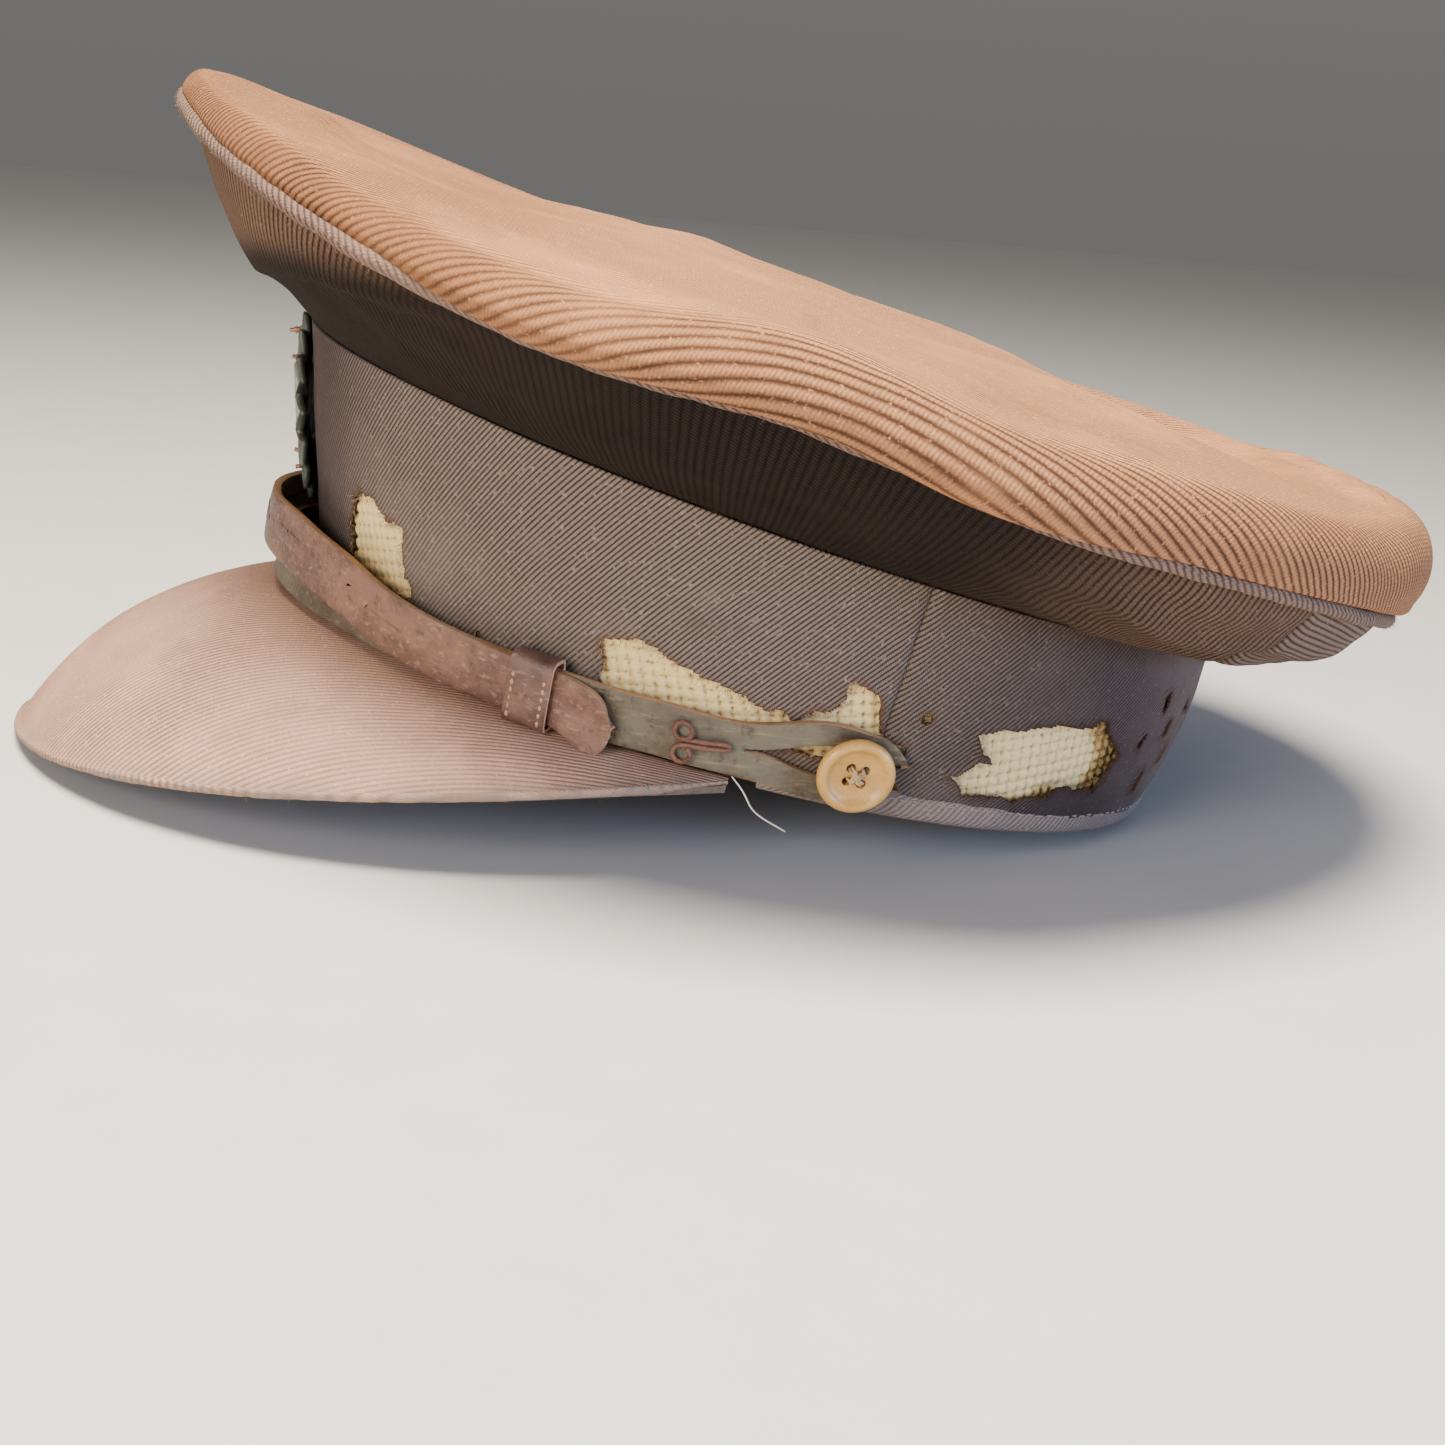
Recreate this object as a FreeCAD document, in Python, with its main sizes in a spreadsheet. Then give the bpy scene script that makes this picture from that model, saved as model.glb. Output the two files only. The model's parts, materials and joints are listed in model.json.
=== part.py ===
import FreeCAD, Part

import math
import os

import Sketcher
from FreeCAD import Placement, Rotation, Vector

# A military peaked cap: soft crown on a stiff flared band, cloth-covered visor, two-piece leather
# chin strap on side buttons, and a screw-on front badge.
#
# Everything is first laid out in the frame of the head opening: the band's lower edge lies in
# z = 0, -Y is the front, +X the wearer's left.  REST then tips the whole cap back, so that it
# stands on the visor's edge and on the rear of the band, with the origin under the middle.

# name, value (mm, degrees or a count), meaning
SIZES = (
    ("ring_half_length", 98.5, "band's lower edge, outside, front to back"),
    ("ring_half_width", 80.5, "band's lower edge, outside, side to side"),
    ("ring_back", 1.5, "how far the lower edge's middle lies back"),
    ("seam_half_length", 108.0, "band's top seam, front to back"),
    ("seam_half_width", 88.4, "band's top seam, side to side"),
    ("seam_forward", 3.5, "how far the top seam's middle lies forward"),
    ("seam_height", 50.5, "top seam above the lower edge, at its middle"),
    ("seam_fall", 8.1, "how much lower the top seam is at the back than at its middle"),
    ("cover_thick", 1.2, "band cloth"),
    ("stiffener_thick", 1.7, "woven fibre stiffener"),
    ("layer_gap", 0.15, "air between the band's layers"),
    ("sweatband_thick", 1.2, "sweatband leather"),
    ("sweatband_height", 38.0, "sweatband's top edge"),
    ("sweatband_foot", 0.9, "sweatband's lower edge"),
    ("reed_radius", 0.9, "rolled edge tape of the sweatband"),
    ("side_seam", 25.2, "band cover's side seam, behind the middle"),
    ("seam_slit", 0.3, "open width of a sewn joint"),
    ("binding_height", 4.6, "turned-up edge binding, outside"),
    ("binding_drop", 1.2, "binding below the band"),
    ("binding_thick", 0.9, "binding cloth"),
    ("binding_front", -0.8, "where the binding meets the visor's corner"),
    ("welt_half_length", 140.6, "crown's corded edge, front to back"),
    ("welt_half_width", 134.2, "crown's corded edge, side to side"),
    ("welt_forward", 4.4, "how far its middle lies forward"),
    ("welt_height", 78.5, "its mean height"),
    ("welt_fall", 19.6, "front higher and back lower than the mean"),
    ("welt_droop", 6.1, "sides lower than the mean"),
    ("welt_twist", 11.3, "the droop fades to the back"),
    ("welt_radius", 1.5, "cord in the welt"),
    ("crown_cloth", 1.3, "crown cloth"),
    ("quarter_bulge", 3.0, "outward belly of the crown's side"),
    ("quarter_seam", 136.0, "crown's side seam, degrees from the front"),
    ("roll_front", 3.0, "radius of the crown top's rolled rim at the front"),
    ("roll_side", 6.3, "the same at the sides"),
    ("roll_rear", 12.5, "the same at the back"),
    ("roll_start", 50.0, "degrees below level where the roll leaves the welt"),
    ("roll_share", 0.2, "part of the crown radius that the roll takes"),
    ("dome_rise", 15.7, "crown top's middle above the welt's own surface"),
    ("dome_lean", 0.4, "that rise is larger behind and smaller in front by this part"),
    ("dome_power", 1.5, "how the rim's height fades into the middle's"),
    ("hoop_radius", 1.5, "cane hoop inside the rim"),
    ("hoop_inset", 7.0, "hoop inside the welt"),
    ("hoop_rise", 1.5, "hoop above the welt"),
    ("lining_thick", 0.6, "cotton lining"),
    ("lining_gap", 4.6, "lining hangs this far inside the cloth"),
    ("stay_half_width", 6.0, "front stay"),
    ("stay_thick", 0.8, "front stay"),
    ("stay_foot", 46.0, "its lower end"),
    ("visor_length", 77.4, "visor, root to edge, at the front"),
    ("visor_slope", 38.5, "degrees below level at the front"),
    ("visor_flatten", 30.0, "degrees less at the corners"),
    ("visor_reach", 89.0, "corner of the visor, degrees from the front"),
    ("visor_round", 1.32, "outline: power of the distance from the front"),
    ("visor_taper", 0.96, "outline: power of the length"),
    ("visor_camber", 11.2, "rise of the visor's middle above a straight line"),
    ("visor_drop", 0.3, "visor's root below the band's edge"),
    ("visor_cover_thick", 0.8, "cloth"),
    ("visor_core_thick", 1.2, "leatherboard"),
    ("visor_lining_thick", 0.5, "underside"),
    ("visor_hem", 0.06, "edge left free by the underside, part of the length"),
    ("strap_width", 12.0, "chin strap, half an inch"),
    ("strap_head", 15.5, "chin strap round the button"),
    ("strap_thick", 1.7, "chin strap leather"),
    ("strap_lap", 0.3, "air between the two straps"),
    ("strap_rest", 1.5, "strap off the band at the sides"),
    ("strap_loop", 6.8, "extra stand-off at the front"),
    ("strap_low", 6.5, "middle of the strap above the band's edge"),
    ("strap_rise", 7.3, "extra height of the outer strap at the front"),
    ("strap_tab", 74.3, "free end of each strap, degrees from the front"),
    ("strap_end", 107.5, "buttoned end of each strap, degrees from the front"),
    ("keeper_at", 64.4, "keeper loop, degrees from the front"),
    ("keeper_width", 9.5, "keeper loop along the strap"),
    ("keeper_height", 14.0, "keeper loop across the strap"),
    ("keeper_lift", 0.3, "keeper's middle above the strap's"),
    ("keeper_wall", 1.0, "keeper leather"),
    ("keeper_room", 0.4, "air inside the keeper"),
    ("keeper_bulge", 1.3, "extra stand-off of the straps in the keeper"),
    ("button_at", 101.4, "side button, degrees from the front"),
    ("button_height", 8.6, "side button above the band's edge"),
    ("button_radius", 8.0, "25-line button"),
    ("button_rim", 3.0, "button's thickness at the rim"),
    ("button_dish", 0.9, "hollow of the button's face"),
    ("button_dish_radius", 5.6, "radius of that hollow"),
    ("button_stand", 3.7, "button's back above the band"),
    ("button_hole", 0.85, "radius of one thread hole"),
    ("button_pitch", 2.1, "thread hole from the button's axis"),
    ("thread_radius", 0.55, "button thread"),
    ("shank_radius", 1.2, "wound thread under the button"),
    ("shank_gap", 0.35, "shank's foot above the band"),
    ("slit_height", 1.2, "slit in the buttoned strap end"),
    ("slit_eye", 2.9, "radius of the slit's eye round the shank"),
    ("hook_wire", 0.5, "radius of the wire hook"),
    ("hook_eye", 1.9, "radius of its sewing loops"),
    ("hook_at", 82.0, "its sewing loops, degrees from the front"),
    ("hook_prong", 8.5, "its prong"),
    ("badge_height", 38.5, "badge's middle above the band's edge"),
    ("badge_radius", 21.5, "rayed badge plate"),
    ("badge_valley", 17.5, "radius between the rays"),
    ("badge_rays", 16, "number of rays"),
    ("badge_thick", 1.6, "badge plate"),
    ("badge_gap", 1.5, "plate off the cloth"),
    ("shield_half_width", 9.5, "shield on the plate"),
    ("shield_height", 23.0, "shield on the plate"),
    ("shield_thick", 1.3, "shield on the plate"),
    ("post_rise", 10.5, "screw post above the badge's middle"),
    ("post_radius", 1.4, "screw post"),
    ("post_length", 12.5, "screw post behind the plate"),
    ("post_room", 0.4, "clearance of the holes round the post"),
    ("nut_fit", 0.05, "running clearance of the nut"),
    ("nut_radius", 7.5, "knurled nut"),
    ("nut_thick", 3.0, "knurled nut"),
    ("nut_flutes", 24, "number of knurls"),
    ("nut_flute", 0.5, "radius of one knurl"),
    ("washer_radius", 5.5, "washer under the nut"),
    ("washer_thick", 0.6, "washer under the nut"),
)

doc = FreeCAD.newDocument("peaked_cap")
sheet = doc.addObject("Spreadsheet::Sheet", "sizes")
for row, (alias, value, meaning) in enumerate(SIZES, start=1):
    sheet.set(f"A{row}", meaning)
    sheet.set(f"B{row}", str(value))
    sheet.setAlias(f"B{row}", alias)
doc.recompute()


def size(alias):
    """The value of one cell of the sheet."""
    return float(sheet.get(alias))


SUBPARTS = []


def subpart(node, label, local=Placement()):
    """Names a finished object after its node and remembers where it sits in the opening's frame."""
    node.Label = label
    SUBPARTS.append((node, local))
    return node


# ---------------------------------------------------------------------------------------------
# Where things are, in the frame of the head opening.  Angles run from the front, positive to
# the wearer's left.


def turned(half_width, half_length, forward, angle, height):
    """A point of a level ellipse."""
    turn = math.radians(angle)
    return Vector(half_width * math.sin(turn), -forward - half_length * math.cos(turn), height)


def band_point(angle, height, out=0.0):
    """A point of the band's outer face, or out millimetres off it."""
    share = height / seam_point(angle).z
    half_length = size("ring_half_length") * (1 - share) + size("seam_half_length") * share
    half_width = size("ring_half_width") * (1 - share) + size("seam_half_width") * share
    forward = size("seam_forward") * share - size("ring_back") * (1 - share)
    return turned(half_width + out, half_length + out, forward, angle, height)


def band_normal(angle, height=0.0):
    """The outward direction of the band's face."""
    along = band_point(angle + 0.5, height) - band_point(angle - 0.5, height)
    up = band_point(angle, height + 1.0) - band_point(angle, height - 1.0)
    return along.cross(up).normalize()


def seam_point(angle):
    """The band's top seam, lower at the back."""
    point = turned(size("seam_half_width"), size("seam_half_length"), size("seam_forward"), angle, 0.0)
    point.z = size("seam_height") + size("seam_fall") * math.cos(math.radians(angle))
    return point


def welt_height(x_share, y_share):
    """The saddle on which the crown's edge lies, for places as parts of its half-axes."""
    droop = size("welt_droop") - size("welt_twist") * y_share
    return size("welt_height") - size("welt_fall") * y_share - droop * x_share**2


def welt_point(angle, inset=0.0, rise=0.0):
    """The crown's corded edge, or a line inset from it and rise above it."""
    half_width = size("welt_half_width")
    half_length = size("welt_half_length")
    turn = math.radians(angle)
    height = welt_height(math.sin(turn), -math.cos(turn)) + rise
    return turned(half_width - inset, half_length - inset, size("welt_forward"), angle, height)


def smooth(share):
    """Rises evenly from 0 to 1."""
    share = min(max(share, 0.0), 1.0)
    return share * share * (3.0 - 2.0 * share)


def bump(angle, middle, spread):
    """A bell of height 1."""
    return math.exp(-(((angle - middle) / spread) ** 2))


# ---------------------------------------------------------------------------------------------
# Skins: a surface is a function of two shares, 0 to 1.


def normal_of(surface, u, v):
    """The surface's normal, by small steps that stay inside it."""
    step = 0.004
    u_low, u_high = max(u - step, 0.0), min(u + step, 1.0)
    v_low, v_high = max(v - step, 0.0), min(v + step, 1.0)
    across = surface(u_high, v) - surface(u_low, v)
    along = surface(u, v_high) - surface(u, v_low)
    return across.cross(along).normalize()


def spline_surface(surface, depth, rows, columns, upward=None):
    """A spline surface through points of surface, pushed by depth against upward, its normal."""
    upward = upward or (lambda u, v: normal_of(surface, u, v))
    grid = []
    for i in range(rows):
        u = i / (rows - 1)
        line = []
        for j in range(columns):
            v = j / (columns - 1)
            line.append(surface(u, v) - upward(u, v) * depth)
        grid.append(line)
    spline = Part.BSplineSurface()
    spline.interpolate(grid)
    return spline


def rims(spline):
    """The four border curves of a spline surface."""
    u_low, u_high, v_low, v_high = spline.bounds()
    borders = (spline.uIso(u_low), spline.uIso(u_high), spline.vIso(v_low), spline.vIso(v_high))
    return [curve.toShape() for curve in borders]


def skin(surface, near, far, rows, columns, upward=None):
    """A closed solid between two depths under a surface."""
    outer = spline_surface(surface, near, rows, columns, upward)
    inner = spline_surface(surface, far, rows, columns, upward)
    faces = [outer.toShape(), inner.toShape()]
    for outer_rim, inner_rim in zip(rims(outer), rims(inner)):
        faces.append(Part.makeRuledSurface(outer_rim, inner_rim))
    shell = Part.makeShell(faces)
    shell.sewShape()
    solid = Part.makeSolid(shell)
    if solid.Volume < 0:
        solid.reverse()
    return solid


def loop_tube(path, radius, stations=72, around=8):
    """A closed ring of round section along path(share), as one spline surface without seams."""
    pole_radius = radius * 6.0 / (4.0 + 2.0 * math.cos(2 * math.pi / around))
    poles = []
    for i in range(stations):
        share = i / stations
        ahead = (path(share + 0.002) - path(share - 0.002)).normalize()
        side = Vector(0, 0, 1).cross(ahead).normalize()
        up = ahead.cross(side)
        circle = []
        for j in range(around):
            turn = 2 * math.pi * j / around
            offset = side * math.cos(turn) + up * math.sin(turn)
            circle.append(path(share) + offset * pole_radius)
        poles.append(circle)
    spline = Part.BSplineSurface()
    spline.buildFromPolesMultsKnots(
        poles,
        [1] * (stations + 1),
        [1] * (around + 1),
        list(range(stations + 1)),
        list(range(around + 1)),
        True,
        True,
        3,
        3,
    )
    solid = Part.makeSolid(Part.makeShell([spline.toShape()]))
    if solid.Volume < 0:
        solid.reverse()
    return solid


def feature(label, shape):
    """A free-form sub-part."""
    node = doc.addObject("Part::Feature", label)
    node.Shape = shape
    return subpart(node, label)


# ---------------------------------------------------------------------------------------------
# Straight-sided rings of the band, as lofts between two ellipses.


def band_ellipse(label, share, depth):
    """The band's outline at a share of its height, in a plane that slopes more towards the seam."""
    length = f"(sizes.ring_half_length * (1 - ({share})) + sizes.seam_half_length * ({share}))"
    width = f"(sizes.ring_half_width * (1 - ({share})) + sizes.seam_half_width * ({share}))"
    back = f"(sizes.ring_back * (1 - ({share})) - sizes.seam_forward * ({share}))"
    tilt = f"atan(sizes.seam_fall * ({share}) / {length})"
    ring = doc.addObject("Part::Ellipse", label)
    ring.setExpression("MajorRadius", f"{length} / cos({tilt}) - ({depth})")
    ring.setExpression("MinorRadius", f"{width} - ({depth})")
    ring.setExpression(
        "Placement",
        f"placement(vector(0; {back}; sizes.seam_height * ({share})); rotation(90; {tilt}; 0))",
    )
    return ring


def cone(label, low, high, depth):
    """A solid inside the band's outline, shrunk by depth, between two shares of its height."""
    loft = doc.addObject("Part::Loft", label)
    loft.Sections = [
        band_ellipse(f"{label}_low", low, depth),
        band_ellipse(f"{label}_high", high, depth),
    ]
    loft.Solid = True
    loft.Ruled = True
    return loft


def boolean(kind, label, base, tool):
    """Base cut by, joined to or shared with tool."""
    result = doc.addObject(f"Part::{kind}", label)
    result.Base = base
    result.Tool = tool
    return result


def seam_ring(label, near, far, low="0", high="1"):
    """A layer of the band between two depths."""
    outer = cone(f"{label}_outer", low, high, near)
    inner = cone(f"{label}_inner", low, high, far)
    return boolean("Cut", f"{label}_ring", outer, inner)


def half_space(label, start):
    """A large box behind the plane y = start."""
    box = doc.addObject("Part::Box", label)
    reach = 400.0
    box.Length = reach
    box.Width = reach
    box.Height = reach
    corner = f"vector(-{reach / 2}; {start}; -{reach / 2})"
    box.setExpression("Placement", f"placement({corner}; rotation(0; 0; 0))")
    return box


def badge_axis():
    """The placement of the badge: X across, Y up the band's front, Z outward."""
    outward = band_normal(0.0, size("badge_height"))
    across = Vector(1, 0, 0)
    up = outward.cross(across).normalize()
    across = up.cross(outward)
    turn = Rotation(across, up, outward, "ZXY")
    return Placement(band_point(0.0, size("badge_height")), turn)


def post_hole(label):
    """A drill through the band's front for the badge's post."""
    drill = doc.addObject("Part::Cylinder", label)
    drill.setExpression("Radius", "sizes.post_radius + sizes.post_room")
    drill.setExpression("Height", "2 * sizes.post_length")
    drill.Placement = badge_axis().multiply(
        Placement(Vector(0, size("post_rise"), -size("post_length")), Rotation())
    )
    return drill


def drilled(label, node):
    """The node with the post's hole."""
    return boolean("Cut", f"{label}_drilled", node, post_hole(f"{label}_drill"))


# The depths of the band's layers under its outer face.
STIFFENER_NEAR = "sizes.cover_thick + sizes.layer_gap"
STIFFENER_FAR = f"{STIFFENER_NEAR} + sizes.stiffener_thick"
SWEATBAND_NEAR = f"{STIFFENER_FAR} + sizes.layer_gap"
SWEATBAND_FAR = f"{SWEATBAND_NEAR} + sizes.sweatband_thick"


def band_cover():
    """The band's cloth, in a front and a rear length sewn at the sides."""
    front_ring = seam_ring("cover_front", "0", "sizes.cover_thick")
    rear_ring = seam_ring("cover_rear", "0", "sizes.cover_thick")
    front = boolean("Cut", "cover_front_length", front_ring, half_space("front_limit", "sizes.side_seam"))
    rear_space = half_space("rear_limit", "sizes.side_seam + sizes.seam_slit")
    rear = boolean("Common", "cover_rear_length", rear_ring, rear_space)
    subpart(drilled("cover_front", front), "band_cover_front")
    subpart(rear, "band_cover_rear")


def band_stiffener():
    """The woven fibre ring that holds the band up."""
    ring = seam_ring("stiffener", STIFFENER_NEAR, STIFFENER_FAR)
    subpart(drilled("stiffener", ring), "band_stiffener")


def sweatband():
    """The leather against the head, and the rolled tape along its foot."""
    low = "sizes.sweatband_foot / sizes.seam_height"
    high = "sizes.sweatband_height / sizes.seam_height"
    subpart(seam_ring("sweatband", SWEATBAND_NEAR, SWEATBAND_FAR, low, high), "sweatband")

    layers = size("cover_thick") + size("stiffener_thick") + 2 * size("layer_gap")
    inset = layers + size("reed_radius") + size("layer_gap")

    def path(share):
        return band_point(360.0 * share, 0.0, -inset) - Vector(0, 0, 0.2)

    feature("sweatband_reed", loop_tube(path, size("reed_radius")))


def band_binding():
    """The folded cloth along the band's lower edge, from one visor corner round the back."""
    drop = "-sizes.binding_drop / sizes.seam_height"
    top = "sizes.binding_height / sizes.seam_height"
    over = f"2 * {top}"
    outer = cone("binding_outer", drop, top, "-sizes.binding_thick")
    nest = cone("binding_nest", "-sizes.layer_gap / sizes.seam_height", over, "-sizes.layer_gap")
    bore = cone("binding_bore", f"2 * ({drop})", over, STIFFENER_FAR)
    channel = boolean("Cut", "binding_channel", boolean("Cut", "binding_cup", outer, nest), bore)
    rear = boolean("Common", "binding_rear", channel, half_space("binding_limit", "sizes.binding_front"))
    subpart(rear, "band_edge_binding")


# ---------------------------------------------------------------------------------------------
# The crown.


def quarter_surface(from_angle, to_angle, foot=0.0, head=1.0):
    """The crown's side between two angles, from the band's seam out to the welt."""

    def surface(u, v):
        angle = from_angle + (to_angle - from_angle) * u
        rise = foot + (head - foot) * v
        low = seam_point(angle) + Vector(0, 0, size("layer_gap"))
        chord = welt_point(angle) - low
        chord *= 1.0 - (size("welt_radius") + size("seam_slit")) / chord.Length
        outward = Vector(low.x, low.y, 0).normalize()
        belly = Vector(outward.x * chord.z, outward.y * chord.z, -chord.dot(outward)).normalize()
        arch = 4.0 * rise * (1.0 - rise) * size("quarter_bulge")
        return low + chord * rise + belly * arch

    return surface


def crown_quarters():
    """The four cloth quarters."""
    slit = math.degrees(size("seam_slit") / size("seam_half_width")) / 2
    seam = size("quarter_seam")
    cuts = (
        ("quarter_front_left", slit, seam - slit),
        ("quarter_rear_left", seam + slit, 180.0 - slit),
        ("quarter_rear_right", 180.0 + slit, 360.0 - seam - slit),
        ("quarter_front_right", 360.0 - seam + slit, 360.0 - slit),
    )
    for label, start, stop in cuts:
        rows = 21 if stop - start > 90 else 13
        feature(label, skin(quarter_surface(start, stop), 0.0, size("crown_cloth"), rows, 7))


def crown_side_lining():
    """Two lining lengths, hanging inside the quarters."""
    near = size("crown_cloth") + size("lining_gap")
    far = near + size("lining_thick")
    for label, start, stop in (("left", 0.5, 179.5), ("right", 180.5, 359.5)):
        surface = quarter_surface(start, stop, foot=0.05, head=0.87)
        feature(f"crown_side_lining_{label}", skin(surface, near, far, 25, 6))


def roll_radius(turn):
    """The rolled rim is thin at the front and a soft cushion at the back."""
    end = size("roll_front") if math.cos(turn) > 0 else size("roll_rear")
    return size("roll_side") + (end - size("roll_side")) * math.cos(turn) ** 2


def crown_top_point(angle, share):
    """The crown top: share 0 is its middle, 1 the welt under the rolled rim."""
    turn = math.radians(angle)
    radius = roll_radius(turn)
    start = math.radians(size("roll_start"))
    flat = 1.0 - size("roll_share")
    outward = Vector(
        math.sin(turn) * size("welt_half_length"), -math.cos(turn) * size("welt_half_width"), 0
    ).normalize()
    edge = welt_point(angle)
    top_out = -radius * math.cos(start)
    top_rise = radius * (1.0 + math.sin(start))
    if share >= flat:
        roll = (share - flat) / (1.0 - flat)
        short = (size("welt_radius") + 2 * size("seam_slit")) / radius
        tilt = math.pi / 2 - roll * (math.pi / 2 + start - short)
        out = radius * (math.cos(tilt) - math.cos(start))
        rise = radius * (math.sin(tilt) + math.sin(start))
        return edge + outward * out + Vector(0, 0, rise)
    ring = share / flat
    middle = Vector(0, -size("welt_forward"), 0)
    rim = edge + outward * top_out
    place = middle + (Vector(rim.x, rim.y, 0) - middle) * ring
    x_share = place.x / size("welt_half_width")
    y_share = (place.y + size("welt_forward")) / size("welt_half_length")
    rim_part = ring ** size("dome_power")
    dome = size("dome_rise") * (1.0 + size("dome_lean") * y_share)
    place.z = welt_height(x_share, y_share) + top_rise * rim_part + dome * (1.0 - rim_part)
    return place


RIM_CROWDING = 1.15


def disc(share_limit):
    """The crown top out to share_limit, over a square grid bent to the oval's outline."""

    def surface(u, v):
        x = 2.0 * u - 1.0
        y = 2.0 * v - 1.0
        across = x * math.sqrt(1.0 - y * y / 2.0)
        along = y * math.sqrt(1.0 - x * x / 2.0)
        # Rings crowd towards the rim, where the cloth turns over.
        share = math.sin(min(math.hypot(across, along), 1.0) * RIM_CROWDING) / math.sin(RIM_CROWDING)
        angle = math.degrees(math.atan2(across, -along))
        return crown_top_point(angle, share * share_limit)

    return surface


def crown_top():
    """The top cloth with its rolled rim, and the lining under it."""
    feature("crown_top", skin(disc(1.0), 0.0, size("crown_cloth"), 47, 47))
    near = size("crown_cloth") + size("lining_gap") / 2
    inner_share = (1.0 - size("roll_share")) * 0.91
    feature("crown_top_lining", skin(disc(inner_share), near, near + size("lining_thick"), 25, 25))


def crown_edge():
    """The corded welt and the cane hoop behind it."""

    def welt(share):
        return welt_point(360.0 * share)

    def hoop(share):
        return welt_point(360.0 * share, inset=size("hoop_inset"), rise=size("hoop_rise"))

    feature("crown_welt", loop_tube(welt, size("welt_radius")))
    feature("crown_hoop", loop_tube(hoop, size("hoop_radius")))


def crown_front_stay():
    """The springy strip behind the badge that keeps the crown's front up."""
    layers = size("cover_thick") + size("stiffener_thick") + 2 * size("layer_gap")
    depth = layers + size("layer_gap") + 0.35
    foot = band_point(0.0, size("stay_foot"))
    knee = seam_point(0.0)
    inward = Vector(0, 1, 0)
    front = quarter_surface(-1.0, 1.0)
    behind = size("crown_cloth") + 0.9
    rises = (0.28, 0.42, 0.56, 0.7, 0.84)
    upper = [front(0.5, rise) - normal_of(front, 0.5, rise) * behind for rise in rises]
    route = Part.BSplineCurve()
    route.interpolate(
        [foot + inward * depth, (foot + knee) * 0.5 + inward * depth, knee + inward * depth] + upper
    )
    start = route.FirstParameter
    stop = route.LastParameter

    def surface(u, v):
        point = route.value(start + (stop - start) * v)
        return Vector(size("stay_half_width") * (2.0 * u - 1.0), point.y, point.z)

    strip = skin(surface, 0.0, size("stay_thick"), 4, 15)
    drill = post_hole("stay_drill")
    doc.recompute()
    feature("crown_front_stay", strip.cut(drill.Shape))


# ---------------------------------------------------------------------------------------------
# The visor.


VISOR_CORNER = 0.985


def visor_place(u):
    """The angle from the front of a share u across the visor, and that as part of its reach."""
    place = (1.0 - 2.0 * u) * VISOR_CORNER
    return place * size("visor_reach"), place


def visor_directions(u):
    """Down the visor's slope, and square to it."""
    angle, place = visor_place(u)
    turn = math.radians(angle)
    outward = Vector(
        math.sin(turn) / size("ring_half_width"), -math.cos(turn) / size("ring_half_length"), 0
    ).normalize()
    slope = math.radians(size("visor_slope") - size("visor_flatten") * place**2)
    down = outward * math.cos(slope) - Vector(0, 0, math.sin(slope))
    up = outward * math.sin(slope) + Vector(0, 0, math.cos(slope))
    return down, up


def visor_surface(reach=1.0):
    """The visor's top face; reach shortens it for the underside's hem."""

    def surface(u, v):
        angle, place = visor_place(u)
        down, up = visor_directions(u)
        root = band_point(angle, 0.0) - Vector(0, 0, size("visor_drop"))
        length = (1.0 - abs(place) ** size("visor_round")) ** size("visor_taper") * size("visor_length")
        way = v * reach
        flatter = (1.0 - place**2) * length / size("visor_length")
        camber = size("visor_camber") * 4.0 * way * (1.0 - way) * flatter
        return root + down * (length * way) + up * camber

    return surface


def visor():
    """Cloth, leatherboard core and underside, one under the other."""
    core_near = size("visor_cover_thick") + 0.1
    core_far = core_near + size("visor_core_thick")
    under_near = core_far + 0.1
    under_far = under_near + size("visor_lining_thick")
    layers = (
        ("visor_cover", visor_surface(), 0.0, size("visor_cover_thick")),
        ("visor_core", visor_surface(), core_near, core_far),
        ("visor_lining", visor_surface(1.0 - size("visor_hem")), under_near, under_far),
    )
    for label, surface, near, far in layers:
        feature(label, skin(surface, near, far, 41, 9, lambda u, v: visor_directions(u)[1]))


# ---------------------------------------------------------------------------------------------
# The chin strap.  The inner strap buttons on the wearer's left, the outer one on the right.


def strap_off(angle):
    """How far the inner strap's inside stands off the band."""
    keeper = size("keeper_bulge") * bump(abs(angle), size("keeper_at"), 14.0)
    return size("strap_rest") + keeper + size("strap_loop") * bump(angle, 0.0, 30.0)


def lap():
    """How far the outer strap lies outside the inner one."""
    return size("strap_thick") + size("strap_lap")


def strap_width(angle):
    """The strap's width, wider round the button and rounded off at both ends."""
    tab = size("strap_tab")
    end = size("strap_end")
    width = size("strap_width")
    width += (size("strap_head") - width) * smooth((angle - 88.0) / 10.0)
    rounding = 4.5
    near_end = max(0.0, (angle - (end - rounding)) / rounding)
    near_tab = max(0.0, (rounding - tab - angle) / rounding)
    return width * (1.0 - 0.62 * max(near_end, near_tab) ** 2.2)


def strap_middle(angle, outer):
    """Height of the strap's middle line; angle is positive towards its own button."""
    rise = size("button_height") - size("strap_low")
    height = size("strap_low") + rise * smooth((angle - 82.0) / 18.0)
    if outer:
        height += size("strap_rise") * math.exp(-((angle / 40.0) ** 4))
    return height


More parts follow.
